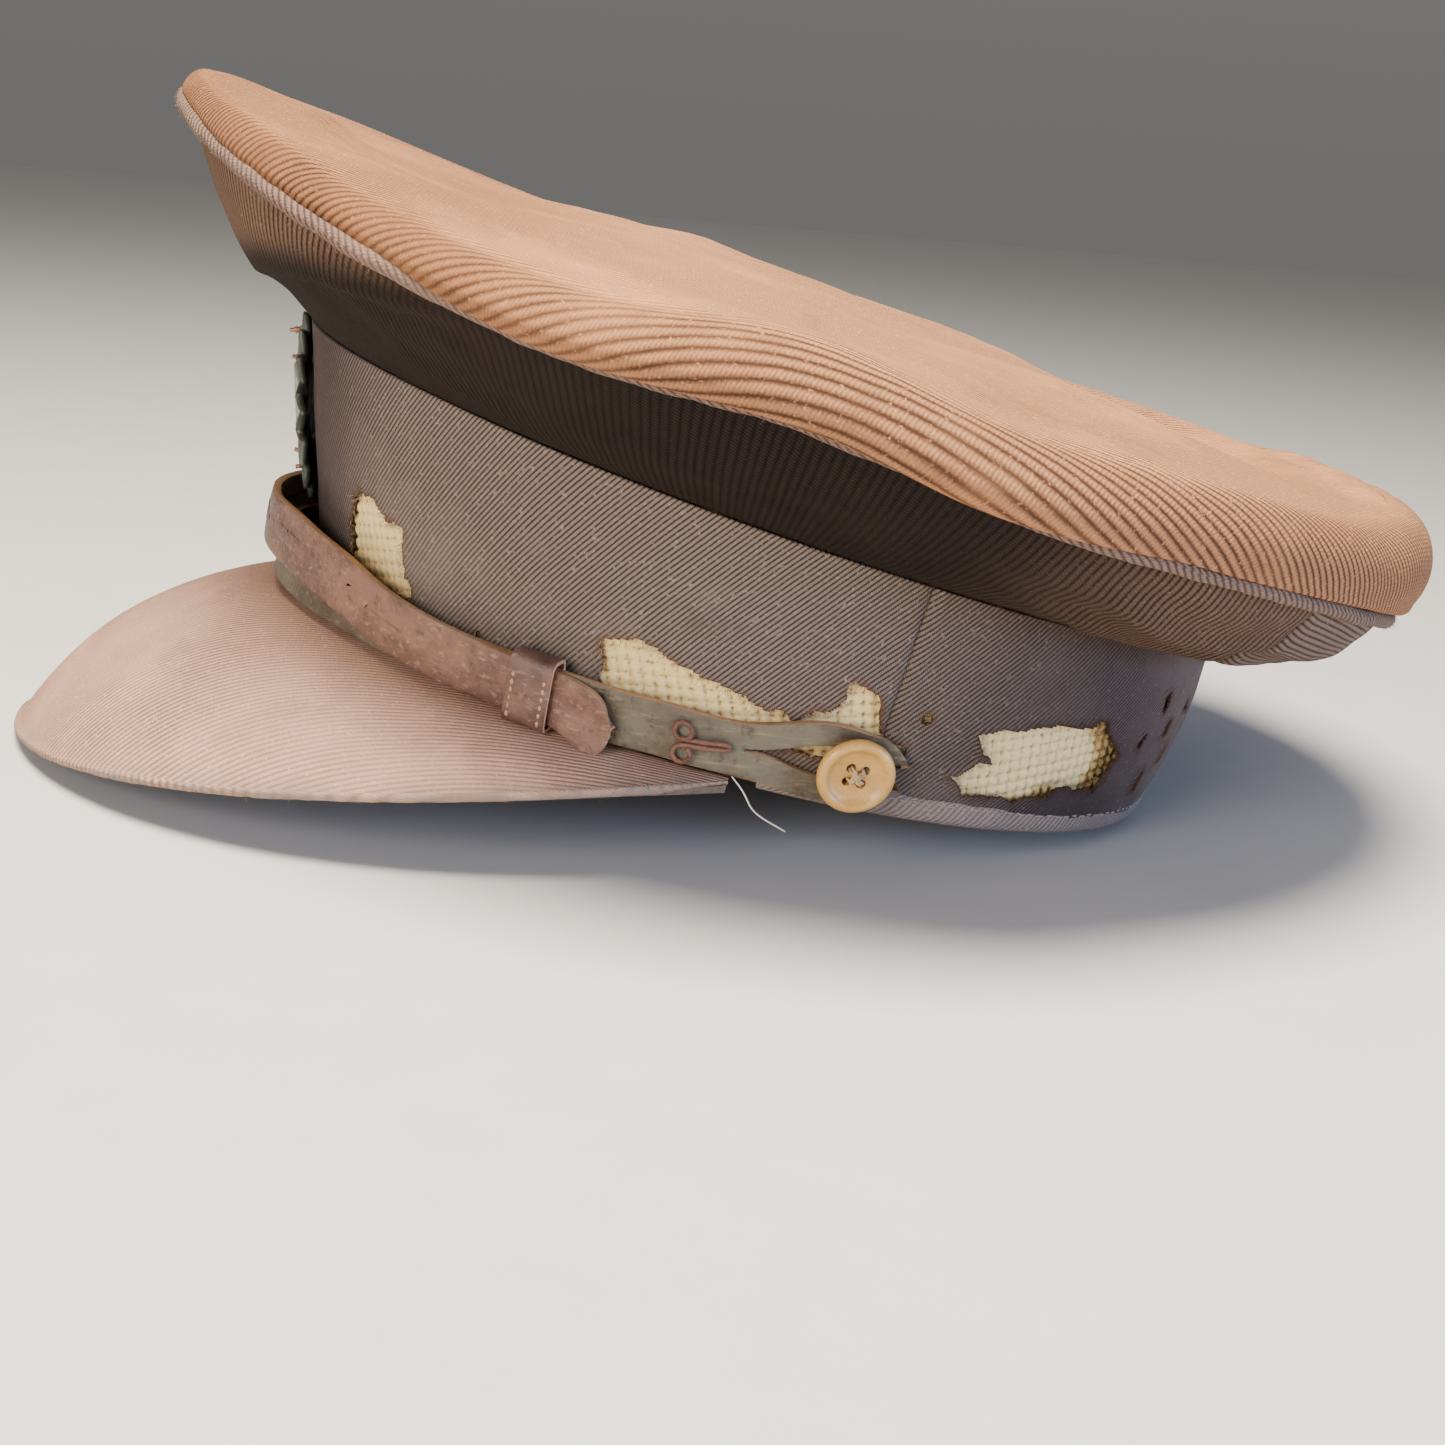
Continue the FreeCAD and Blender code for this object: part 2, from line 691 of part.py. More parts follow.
def strap_surface(outer):
    """The strap's outside.  u runs from its free tab to its buttoned end."""
    side = -1.0 if outer else 1.0

    def surface(u, v):
        own = -size("strap_tab") + (size("strap_tab") + size("strap_end")) * u
        angle = own * side
        off = strap_off(angle) + size("strap_thick")
        if outer:
            off += lap() * (1.0 - smooth((own - 78.0) / 14.0))
        middle = strap_middle(own, outer)
        point = band_point(angle, middle, off)
        normal = band_normal(angle, middle)
        slope = abs(math.sin(math.radians(angle)))
        rise = (v - 0.5) * strap_width(own) * side
        point.z += rise
        return point - Vector(normal.x, normal.y, 0) * (normal.z * rise * slope)

    return surface


def button_line(side):
    """The placement of a side button: Z outward from the band; side is 1 on the left."""
    angle = size("button_at") * side
    height = size("button_height")
    outward = band_normal(angle, height)
    up = Vector(0, 0, 1)
    across = up.cross(outward).normalize()
    turn = Rotation(across, outward.cross(across), outward, "ZXY")
    return Placement(band_point(angle, height), turn)


def strap_slit(side):
    """The slit of a buttoned end, with its eye round the button's shank."""
    depth = 24.0
    line = button_line(side)
    out = line.Rotation.multVec(Vector(0, 0, 1))
    base = line.Base - out * depth / 2
    eye = Part.makeCylinder(size("slit_eye"), depth, base, out)
    reach = 21.0
    fall = 2.0
    half = size("slit_height") / 2
    tip = base + Vector(0, -reach, -fall)
    corners = [
        base + Vector(0, 0, size("slit_eye") * 0.6),
        tip + Vector(0, 0, half),
        tip - Vector(0, 0, half),
        base - Vector(0, 0, size("slit_eye") * 0.6),
    ]
    wedge = Part.Face(Part.makePolygon(corners + corners[:1])).extrude(out * depth)
    return eye.fuse(wedge)


def chin_straps():
    """Both straps, slit at their buttons."""
    for label, outer in (("chin_strap_inner", False), ("chin_strap_outer", True)):
        strap = skin(strap_surface(outer), 0.0, size("strap_thick"), 61, 4)
        feature(label, strap.cut(strap_slit(-1.0 if outer else 1.0)))


def origin_plane(body, role):
    """One of a body's own origin planes."""
    return next(plane for plane in body.Origin.OriginFeatures if plane.Role == role)


def sketch_on(body, label, role):
    """A sketch on one of the body's origin planes."""
    sketch = body.newObject("Sketcher::SketchObject", label)
    sketch.AttachmentSupport = [(origin_plane(body, role), "")]
    sketch.MapMode = "FlatFace"
    return sketch


def bound_circle(sketch, radius, centre_up="0"):
    """A circle on the sketch's upright axis; its radius and height are expressions."""
    index = sketch.addGeometry(Part.Circle(Vector(0, 1, 0), Vector(0, 0, 1), 1.0), False)
    names = []
    for kind, constraint in (
        ("radius", Sketcher.Constraint("Radius", index, 1.0)),
        ("across", Sketcher.Constraint("DistanceX", -1, 1, index, 3, 0.0)),
        ("up", Sketcher.Constraint("DistanceY", -1, 1, index, 3, 1.0)),
    ):
        place = sketch.addConstraint(constraint)
        name = f"{kind}_{index}"
        sketch.renameConstraint(place, name)
        names.append(name)
    sketch.setExpression(f"Constraints.{names[0]}", radius)
    sketch.setExpression(f"Constraints.{names[2]}", centre_up)
    return index


def bound_rectangle(sketch, width, height):
    """A rectangle about the sketch's origin; width and height are expressions."""
    corners = [Vector(-1, -1, 0), Vector(1, -1, 0), Vector(1, 1, 0), Vector(-1, 1, 0)]
    first = None
    for i in range(4):
        line = Part.LineSegment(corners[i], corners[(i + 1) % 4])
        index = sketch.addGeometry(line, False)
        first = index if first is None else first
    for i in range(4):
        sketch.addConstraint(Sketcher.Constraint("Coincident", first + i, 2, first + (i + 1) % 4, 1))
    for i, kind in enumerate(("Horizontal", "Vertical", "Horizontal", "Vertical")):
        sketch.addConstraint(Sketcher.Constraint(kind, first + i))
    sketch.addConstraint(Sketcher.Constraint("Symmetric", first, 1, first + 1, 2, -1, 1))
    for kind, edge, value in (("DistanceX", first, width), ("DistanceY", first + 1, height)):
        place = sketch.addConstraint(Sketcher.Constraint(kind, edge, 1, edge, 2, 2.0))
        name = f"{kind}_{first}"
        sketch.renameConstraint(place, name)
        sketch.setExpression(f"Constraints.{name}", value)


def pad(body, label, sketch, length, reverse=False, middle=False):
    """A pad of the sketch."""
    result = body.newObject("PartDesign::Pad", label)
    result.Profile = sketch
    result.setExpression("Length", length)
    result.Reversed = reverse
    result.Midplane = middle
    return result


def pocket(body, label, sketch, length, reverse=False, middle=False):
    """A pocket of the sketch."""
    result = body.newObject("PartDesign::Pocket", label)
    result.Profile = sketch
    result.setExpression("Length", length)
    result.Reversed = reverse
    result.Midplane = middle
    return result


def keepers():
    """A leather loop round both straps, near each strap's free end."""
    for label, side in (("keeper_left", 1.0), ("keeper_right", -1.0)):
        body = doc.addObject("PartDesign::Body", label)
        stack = "2 * sizes.strap_thick + sizes.strap_lap + 2 * sizes.keeper_room"
        outside = sketch_on(body, f"{label}_outside", "XY_Plane")
        bound_rectangle(outside, f"{stack} + 2 * sizes.keeper_wall", "sizes.keeper_height")
        pad(body, f"{label}_block", outside, "sizes.keeper_width", middle=True)
        inside = sketch_on(body, f"{label}_inside", "XY_Plane")
        bound_rectangle(inside, stack, "sizes.strap_width + 4 * sizes.keeper_room")
        pocket(body, f"{label}_mouth", inside, "2 * sizes.keeper_width", middle=True)
        angle = size("keeper_at") * side
        middle = size("strap_low") + size("keeper_lift")
        off = strap_off(angle) + size("strap_thick") + size("strap_lap") / 2
        outward = band_normal(angle, middle)
        along = band_point(angle + 1.0, middle) - band_point(angle - 1.0, middle)
        along.normalize()
        turn = Rotation(outward, along.cross(outward), along, "ZXY")
        subpart(body, label, Placement(band_point(angle, middle, off), turn))


def strap_hook():
    """A bent wire hook: two sewing loops and a double prong along the strap."""
    wire = size("hook_wire")
    loop = size("hook_eye")
    angle = size("hook_at")
    height = size("strap_low")
    outward = band_normal(angle, height)
    along = (band_point(angle + 1.0, height) - band_point(angle - 1.0, height)).normalize()
    up = outward.cross(along)
    off = strap_off(angle) + size("strap_thick") + wire + 0.1
    middle = band_point(angle, height, off) + outward * 0.25
    pieces = []
    for way in (-1.0, 1.0):
        centre = middle + up * ((loop + wire * 0.6) * way)
        pieces.append(Part.makeTorus(loop, wire, centre, outward))
        root = middle + up * (wire * 1.1 * way) + along * (loop * 0.6)
        pieces.append(Part.makeCylinder(wire, size("hook_prong"), root, along))
        tip = root + along * size("hook_prong")
        pieces.append(Part.makeSphere(wire * 1.2, tip))
    bridge = middle + along * (size("hook_prong") + loop * 0.6)
    start = bridge - up * (wire * 1.1)
    pieces.append(Part.makeCylinder(wire * 0.9, wire * 2.2, start, up))
    shape = pieces[0]
    for piece in pieces[1:]:
        shape = shape.fuse(piece)
    feature("strap_hook", shape)


# ---------------------------------------------------------------------------------------------
# The side buttons.


def button(label, side):
    """A four-hole button: turned disc with a hollow face."""
    body = doc.addObject("PartDesign::Body", label)
    round_sketch = sketch_on(body, f"{label}_round", "XY_Plane")
    bound_circle(round_sketch, "sizes.button_radius")
    disc_pad = pad(body, f"{label}_disc", round_sketch, "sizes.button_rim")
    doc.recompute()
    edges = [
        f"Edge{i + 1}"
        for i, edge in enumerate(disc_pad.Shape.Edges)
        if isinstance(edge.Curve, Part.Circle)
    ]
    rounded = body.newObject("PartDesign::Fillet", f"{label}_rounded")
    rounded.Base = (disc_pad, edges)
    rounded.setExpression("Radius", "sizes.button_rim * 0.35")
    body.Tip = rounded
    dish = sketch_on(body, f"{label}_dish", "XZ_Plane")
    # The hollow is a flat cone turned out of the face: a triangle beside the axis.
    lines = (
        (Vector(0, 1, 0), Vector(2, 2, 0)),
        (Vector(2, 2, 0), Vector(0, 2, 0)),
        (Vector(0, 2, 0), Vector(0, 1, 0)),
    )
    for start, stop in lines:
        dish.addGeometry(Part.LineSegment(start, stop), False)
    for i in range(3):
        dish.addConstraint(Sketcher.Constraint("Coincident", i, 2, (i + 1) % 3, 1))
    dish.addConstraint(Sketcher.Constraint("Vertical", 2))
    dish.addConstraint(Sketcher.Constraint("Horizontal", 1))
    dish.addConstraint(Sketcher.Constraint("PointOnObject", 2, 2, -2))
    floor = dish.addConstraint(Sketcher.Constraint("DistanceY", -1, 1, 0, 1, 1.0))
    dish.renameConstraint(floor, "floor")
    wide = dish.addConstraint(Sketcher.Constraint("DistanceX", 1, 2, 1, 1, 2.0))
    dish.renameConstraint(wide, "wide")
    rim = dish.addConstraint(Sketcher.Constraint("DistanceY", -1, 1, 1, 1, 2.0))
    dish.renameConstraint(rim, "rim")
    dish.setExpression("Constraints.floor", "sizes.button_rim - sizes.button_dish")
    dish.setExpression("Constraints.wide", "sizes.button_dish_radius")
    dish.setExpression("Constraints.rim", "sizes.button_rim")
    hollow = body.newObject("PartDesign::Groove", f"{label}_hollow")
    hollow.Profile = dish
    hollow.ReferenceAxis = (dish, ["V_Axis"])
    hollow.Angle = 360
    hole_sketch = sketch_on(body, f"{label}_hole", "XY_Plane")
    bound_circle(hole_sketch, "sizes.button_hole", "sizes.button_pitch")
    hole = pocket(body, f"{label}_bore", hole_sketch, "3 * sizes.button_rim", middle=True)
    holes = body.newObject("PartDesign::PolarPattern", f"{label}_holes")
    holes.Originals = [hole]
    holes.Axis = (hole_sketch, ["N_Axis"])
    holes.Angle = 360
    holes.Occurrences = 4
    body.Tip = holes
    stand = Placement(Vector(0, 0, size("button_stand")), Rotation())
    subpart(body, label, button_line(side).multiply(stand))


def button_thread(label, side):
    """The wound shank and the cross of stitches through the four holes."""
    radius = size("thread_radius")
    stand = size("button_stand")
    floor = stand + size("button_rim") - size("button_dish")
    foot = size("shank_gap")
    shape = Part.makeCylinder(size("shank_radius"), stand - 0.1 - foot, Vector(0, 0, foot))
    pitch = size("button_pitch")
    top = floor + radius + 0.35
    root = stand - 0.6
    for turn in range(4):
        angle = math.radians(90.0 * turn + 90.0)
        place = Vector(math.cos(angle) * pitch, math.sin(angle) * pitch, root)
        inward = Vector(-math.cos(angle), -math.sin(angle), 0)
        shape = shape.fuse(Part.makeCylinder(radius, top - root, place))
        shape = shape.fuse(Part.makeSphere(radius, place + Vector(0, 0, top - root)))
        shape = shape.fuse(Part.makeCylinder(radius, pitch, place + Vector(0, 0, top - root), inward))
        shape = shape.fuse(Part.makeCylinder(radius * 0.9, pitch, place, inward))
    node = doc.addObject("Part::Feature", label)
    node.Shape = shape
    subpart(node, label, button_line(side))


# ---------------------------------------------------------------------------------------------
# The badge: a plain rayed plate with a blank shield, held by a screw post and a knurled nut.


def badge_plate():
    """A rayed disc."""
    rays = int(size("badge_rays"))
    corners = []
    for i in range(2 * rays):
        angle = math.pi * i / rays + math.pi / 2
        radius = size("badge_radius") if i % 2 == 0 else size("badge_valley")
        corners.append(Vector(radius * math.cos(angle) * 0.86, radius * math.sin(angle), 0))
    star = Part.Face(Part.makePolygon(corners + corners[:1])).extrude(Vector(0, 0, size("badge_thick")))
    node = doc.addObject("Part::Feature", "badge_plate")
    node.Shape = star
    gap = Placement(Vector(0, 0, size("badge_gap")), Rotation())
    subpart(node, "badge_plate", badge_axis().multiply(gap))


def badge_shield():
    """A blank shield with a straight top, standing on the plate."""
    half = size("shield_half_width")
    top = size("shield_height") * 0.45
    foot = -size("shield_height") * 0.55
    waist = top - size("shield_height") * 0.35
    left_top = Vector(-half, top, 0)
    right_top = Vector(half, top, 0)
    right_waist = Vector(half, waist, 0)
    left_waist = Vector(-half, waist, 0)
    tip = Vector(0, foot, 0)
    belly = Vector(half * 0.72, (waist + foot) * 0.5 - 0.5, 0)
    mirrored = Vector(-belly.x, belly.y, 0)
    edges = [
        Part.LineSegment(left_top, right_top).toShape(),
        Part.LineSegment(right_top, right_waist).toShape(),
        Part.Arc(right_waist, belly, tip).toShape(),
        Part.Arc(tip, mirrored, left_waist).toShape(),
        Part.LineSegment(left_waist, left_top).toShape(),
    ]
    plate = Part.Face(Part.Wire(edges)).extrude(Vector(0, 0, size("shield_thick")))
    node = doc.addObject("Part::Feature", "badge_shield")
    node.Shape = plate
    lift = Placement(Vector(0, 0, size("badge_gap") + size("badge_thick")), Rotation())
    subpart(node, "badge_shield", badge_axis().multiply(lift))


def post_line(depth):
    """On the post's axis, depth behind the cloth; Z points outward."""
    offset = Vector(0, size("post_rise"), -depth)
    return badge_axis().multiply(Placement(offset, Rotation()))


def badge_post():
    """The screw post soldered to the plate's back."""
    body = doc.addObject("PartDesign::Body", "badge_post")
    outline = sketch_on(body, "post_outline", "XY_Plane")
    bound_circle(outline, "sizes.post_radius")
    pad(body, "post_rod", outline, "sizes.post_length")
    subpart(body, "badge_post", post_line(size("post_length") - size("badge_gap")))


def disc_with_bore(label, outer, bore, length):
    """A round plate with a hole."""
    body = doc.addObject("PartDesign::Body", label)
    outline = sketch_on(body, f"{label}_outline", "XY_Plane")
    bound_circle(outline, outer)
    pad(body, f"{label}_disc", outline, length)
    inside = sketch_on(body, f"{label}_inside", "XY_Plane")
    bound_circle(inside, bore)
    pocket(body, f"{label}_bore", inside, f"3 * ({length})", middle=True)
    return body


def inner_depth():
    """How deep the stay's back lies under the badge's seat."""
    layers = size("cover_thick") + size("stiffener_thick") + 3 * size("layer_gap") + 0.35
    return layers + size("stay_thick")


def badge_washer():
    """The washer inside the band."""
    bore = "sizes.post_radius + sizes.post_room / 2"
    body = disc_with_bore("badge_washer", "sizes.washer_radius", bore, "sizes.washer_thick")
    subpart(body, "badge_washer", post_line(inner_depth() + 0.25 + size("washer_thick")))


def badge_nut():
    """The knurled nut, free to spin on the post."""
    bore = "sizes.post_radius + sizes.nut_fit"
    body = disc_with_bore("badge_nut", "sizes.nut_radius", bore, "sizes.nut_thick")
    flute_sketch = sketch_on(body, "flute_outline", "XY_Plane")
    bound_circle(flute_sketch, "sizes.nut_flute", "sizes.nut_radius")
    flute = pocket(body, "nut_flute_cut", flute_sketch, "3 * sizes.nut_thick", middle=True)
    flutes = body.newObject("PartDesign::PolarPattern", "nut_flute_ring")
    flutes.Originals = [flute]
    flutes.Axis = (flute_sketch, ["N_Axis"])
    flutes.Angle = 360
    flutes.setExpression("Occurrences", "sizes.nut_flutes")
    body.Tip = flutes
    depth = inner_depth() + 0.25 + size("washer_thick") + 0.15 + size("nut_thick")
    subpart(body, "badge_nut", post_line(depth))


# ---------------------------------------------------------------------------------------------


def rest_placement():
    """Tips the cap onto its visor's edge and the rear of its band, origin under the middle."""
    shapes = [node.Shape for node, local in SUBPARTS if local.isIdentity()]
    points = []
    for shape in shapes:
        points += shape.tessellate(0.5)[0]
    rear = [p for p in points if p.y > 0]
    front = [p for p in points if p.y <= 0]
    tilt = 0.0
    for _ in range(4):
        turn = Rotation(Vector(1, 0, 0), -math.degrees(tilt))
        heel = min(rear, key=lambda p: turn.multVec(p).z)
        toe = min(front, key=lambda p: turn.multVec(p).z)
        tilt = math.atan((heel.z - toe.z) / (heel.y - toe.y))
    turn = Rotation(Vector(1, 0, 0), -math.degrees(tilt))
    turned_points = [turn.multVec(p) for p in points]
    low_y = min(p.y for p in turned_points)
    high_y = max(p.y for p in turned_points)
    low_z = min(p.z for p in turned_points)
    print(f"tilt {math.degrees(tilt):.3f}, shift y {-(low_y + high_y) / 2:.3f} z {-low_z:.3f}")
    return Placement(Vector(0, -(low_y + high_y) / 2, -low_z), turn)


band_cover()
band_stiffener()
sweatband()
band_binding()
crown_quarters()
crown_side_lining()
crown_top()
crown_edge()
crown_front_stay()
visor()
chin_straps()
keepers()
strap_hook()
for side_name, side_sign in (("left", 1.0), ("right", -1.0)):
    button(f"button_{side_name}", side_sign)
    button_thread(f"button_{side_name}_thread", side_sign)
badge_plate()
badge_shield()
badge_post()
badge_washer()
badge_nut()
doc.recompute()

REST = rest_placement()
for node, local in SUBPARTS:
    node.Placement = REST.multiply(local)
doc.recompute()

for item in doc.Objects:
    if "Invalid" in item.State or "Error" in item.State:
        raise RuntimeError(f"{item.Name} failed: {item.State}")
os.makedirs("parts", exist_ok=True)
for node, local in SUBPARTS:
    if node.Shape.isNull() or not node.Shape.isValid():
        raise RuntimeError(f"{node.Label} has no valid shape")
for node, local in SUBPARTS:
    node.Shape.exportStep(f"parts/{node.Label}.step")
    print(f"{node.Label}: {node.Shape.Volume:.1f} mm3, {len(node.Shape.Solids)} solid(s)")
for label, local in (("ring", Placement()), ("post", post_line(0.0)), ("button", button_line(1.0))):
    place = REST.multiply(local)
    print("AXIS", label, *place.Base, *place.Rotation.multVec(Vector(0, 0, 1)))
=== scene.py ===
"""The look of a worn military peaked cap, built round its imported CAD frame.

Shapes are laid out in the frame of the head opening, in millimetres: the band's lower edge lies in
z = 0, -Y is the front, +X the wearer's left.  place() brings them into the row frame, in metres.
Angles run round the head from the front, in degrees, positive to the wearer's left.
"""

import json
import math

import bpy
import numpy as np
from mathutils import Matrix, Vector


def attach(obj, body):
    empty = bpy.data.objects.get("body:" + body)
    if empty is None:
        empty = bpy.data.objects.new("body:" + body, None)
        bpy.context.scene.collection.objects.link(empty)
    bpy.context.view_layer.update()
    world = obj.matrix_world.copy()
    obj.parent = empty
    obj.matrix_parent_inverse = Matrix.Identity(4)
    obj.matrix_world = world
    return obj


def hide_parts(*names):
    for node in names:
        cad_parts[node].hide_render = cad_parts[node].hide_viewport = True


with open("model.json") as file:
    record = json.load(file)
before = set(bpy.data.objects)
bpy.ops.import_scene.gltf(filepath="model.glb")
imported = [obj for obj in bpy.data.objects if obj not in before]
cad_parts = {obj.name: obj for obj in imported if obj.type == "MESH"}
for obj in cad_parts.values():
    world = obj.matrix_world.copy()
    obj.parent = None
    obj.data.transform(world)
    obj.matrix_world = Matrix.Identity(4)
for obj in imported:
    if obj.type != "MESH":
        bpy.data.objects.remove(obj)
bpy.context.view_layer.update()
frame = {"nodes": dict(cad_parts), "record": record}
NODES = frame["nodes"]

MM = 0.001
OPENING = frame["record"]["mounts"][0]
LEAN_SIN = -OPENING["axis"][1]
LEAN_COS = -OPENING["axis"][2]
TO_ROW = np.array([[1, 0, 0], [0, LEAN_COS, LEAN_SIN], [0, -LEAN_SIN, LEAN_COS]])
RING_MIDDLE = np.array(OPENING["pos_m"])

# The cap's main dimensions, as in the CAD source.
RING_LENGTH, RING_WIDTH, RING_BACK = 98.5, 80.5, 1.5
SEAM_LENGTH, SEAM_WIDTH, SEAM_FORWARD = 108.0, 88.4, 3.5
SEAM_HEIGHT, SEAM_FALL = 50.5, 8.1
SIDE_SEAM = 25.2
WELT_LENGTH, WELT_WIDTH, WELT_FORWARD = 140.6, 134.2, 4.4
WELT_HEIGHT, WELT_FALL, WELT_DROOP, WELT_TWIST = 78.5, 19.6, 6.1, 11.3
WELT_RADIUS = 1.5
QUARTER_SEAM, QUARTER_BULGE = 136.0, 3.0
SEAM_SLIT, WELT_SLIT = 0.15, 0.6
ROLL_FRONT, ROLL_SIDE, ROLL_REAR = 3.0, 6.3, 12.5
ROLL_START, ROLL_SHARE = math.radians(50.0), 0.2
DOME_RISE, DOME_LEAN, DOME_POWER = 15.7, 0.4, 1.5
VISOR_LENGTH, VISOR_SLOPE, VISOR_FLATTEN, VISOR_REACH = 77.4, 38.5, 30.0, 89.0
VISOR_ROUND, VISOR_TAPER, VISOR_CAMBER, VISOR_DROP = 1.32, 0.96, 11.2, 0.3
STRAP_WIDTH, STRAP_HEAD, STRAP_THICK, STRAP_LAP = 12.0, 15.5, 1.7, 0.3
STRAP_REST, STRAP_LOOP, STRAP_LOW, STRAP_RISE = 1.5, 6.8, 6.5, 7.3
STRAP_TAB, STRAP_END = 74.3, 107.5
KEEPER_AT, KEEPER_LIFT, KEEPER_BULGE = 64.4, 0.3, 1.3
HOOK_AT = 82.0
BUTTON_AT, BUTTON_HEIGHT, BUTTON_STAND = 101.4, 8.6, 3.7
BADGE_HEIGHT, BADGE_RADIUS, BADGE_RAYS, RAY_DEPTH = 38.5, 21.5, 16, 4.0

UP = np.array([0, 0, 1.0])
DEGREE = 1.65  # millimetres of the band to one degree round the head


# ------------------------------------------------------------------ numbers and noise


def place(points):
    """Points of the opening's frame, in millimetres, in the row frame, in metres."""
    return np.asarray(points, float) @ TO_ROW.T * MM + RING_MIDDLE


def smooth(share):
    """0 below 0, 1 above 1, and an easy rise between."""
    share = np.clip(share, 0.0, 1.0)
    return share * share * (3.0 - 2.0 * share)


def bell(value, middle, spread):
    """1 at the middle, fading out on both sides."""
    return np.exp(-(((value - middle) / spread) ** 2))


def unit(vectors):
    return vectors / np.maximum(np.linalg.norm(vectors, axis=-1, keepdims=True), 1e-12)


def lattice_noise(x, y, seed):
    """Smooth noise from -1 to 1 with features about one unit wide."""
    table = np.random.RandomState(seed).uniform(-1, 1, (64, 64))
    x, y = np.broadcast_arrays(np.asarray(x, float), np.asarray(y, float))
    i, j = np.floor(x).astype(int), np.floor(y).astype(int)
    s, t = smooth(x - i), smooth(y - j)
    near = table[i % 64, j % 64] * (1 - s) + table[(i + 1) % 64, j % 64] * s
    far = table[i % 64, (j + 1) % 64] * (1 - s) + table[(i + 1) % 64, (j + 1) % 64] * s
    return near * (1 - t) + far * t


def rough_noise(x, y, seed, octaves=3):
    """Lattice noise with finer and weaker noise added."""
    total = 0.0
    for octave in range(octaves):
        total = total + lattice_noise(x * 2**octave + 7.3 * octave, y * 2**octave, seed + octave) / 2**octave
    return total


# ------------------------------------------------------------------ meshes


def mesh_object(name, vertices, faces, uv=None):
    """A smooth-shaded object; vertices are in metres, uv has one pair per face corner."""
    mesh = bpy.data.meshes.new(name)
    mesh.from_pydata(vertices.tolist(), [], faces)
    if uv is not None:
        layer = mesh.uv_layers.new(name="cloth")
        layer.data.foreach_set("uv", np.asarray(uv, np.float32).ravel())
    mesh.polygons.foreach_set("use_smooth", [True] * len(mesh.polygons))
    mesh.update()
    item = bpy.data.objects.new(name, mesh)
    bpy.context.scene.collection.objects.link(item)
    return item


def grid(name, points, uv, wrap=False, keep=None, flip=False, **paints):
    """A sheet of quads through points (rows, columns, 3) in the opening's frame.

    uv is in millimetres, one column wider where the sheet wraps.  Each of paints holds a value per point.
    """
    rows, columns = points.shape[:2]
    last = columns if wrap else columns - 1
    i, j = np.meshgrid(np.arange(rows - 1), np.arange(last), indexing="ij")
    k = (j + 1) % columns
    quads = np.stack([i * columns + j, i * columns + k, (i + 1) * columns + k, (i + 1) * columns + j], -1)
    corners = np.stack([uv[i, j], uv[i, j + 1], uv[i + 1, j + 1], uv[i + 1, j]], 2)
    if keep is not None:
        quads, corners = quads[keep], corners[keep]
    quads, corners = quads.reshape(-1, 4), corners.reshape(-1, 4, 2)
    if flip:
        quads, corners = quads[:, ::-1], corners[:, ::-1]
    vertices = place(points.reshape(-1, 3))
    used = np.unique(quads)
    renumber = np.zeros(len(vertices), int)
    renumber[used] = np.arange(len(used))
    item = mesh_object(name, vertices[used], renumber[quads].tolist(), corners)
    for label, values in paints.items():
        layer = item.data.attributes.new(label, "FLOAT", "POINT")
        layer.data.foreach_set("value", values.reshape(-1)[used].astype(np.float32))
    return item


def round_edges(item, millimetres, angle):
    """Rounds the edges that bend by more than angle, in degrees."""
    rounding = item.modifiers.new("edges", "BEVEL")
    rounding.width = millimetres * MM
    rounding.segments = 2
    rounding.limit_method = "ANGLE"
    rounding.angle_limit = math.radians(angle)


def thicken(item, millimetres, offset=-1.0, rim=0, bevel=0.0):
    """Gives a sheet its thickness, on the inside unless offset is 1; rim is its edges' material."""
    solid = item.modifiers.new("thickness", "SOLIDIFY")
    solid.thickness = millimetres * MM
    solid.offset = offset
    solid.use_even_offset = False
    solid.material_offset_rim = rim
    if bevel:
        round_edges(item, bevel, 50)


def tube(name, path, radius, around=10, closed=False):
    """A round bar along path (points in the opening's frame); radius may change along it."""
    path = np.asarray(path, float)
    count = len(path)
    radius = np.broadcast_to(np.asarray(radius, float), (count,))
    if closed:
        ahead = unit(np.roll(path, -1, 0) - np.roll(path, 1, 0))
    else:
        ahead = unit(np.gradient(path, axis=0))
    nearly_up = [0.03, 0.02, 1.0]
    side = unit(np.cross(ahead, nearly_up))
    up = np.cross(side, ahead)
    turn = np.linspace(0, 2 * math.pi, around, endpoint=False)
    ring = side[:, None] * np.cos(turn)[None, :, None] + up[:, None] * np.sin(turn)[None, :, None]
    points = path[:, None] + ring * radius[:, None, None]
    step = np.linalg.norm(np.diff(path, axis=0), axis=1)
    along = np.concatenate([[0.0], np.cumsum(step)])
    faces, uv = [], []
    last = count if closed else count - 1
    girth = 2 * math.pi * float(radius.mean())
    for i in range(last):
        after = (i + 1) % count
        start = along[i]
        stop = along[after] if after else start + np.linalg.norm(path[0] - path[-1])
        for j in range(around):
            k = (j + 1) % around
            faces.append([i * around + j, after * around + j, after * around + k, i * around + k])
            low, high = girth * j / around, girth * (j + 1) / around
            uv += [(start, low), (stop, low), (stop, high), (start, high)]
    if not closed:
        faces.append(list(range(around)))
        faces.append([(count - 1) * around + j for j in range(around)][::-1])
        uv += [(0.0, 0.0)] * (2 * around)
    return mesh_object(name, place(points.reshape(-1, 3)), faces, uv)


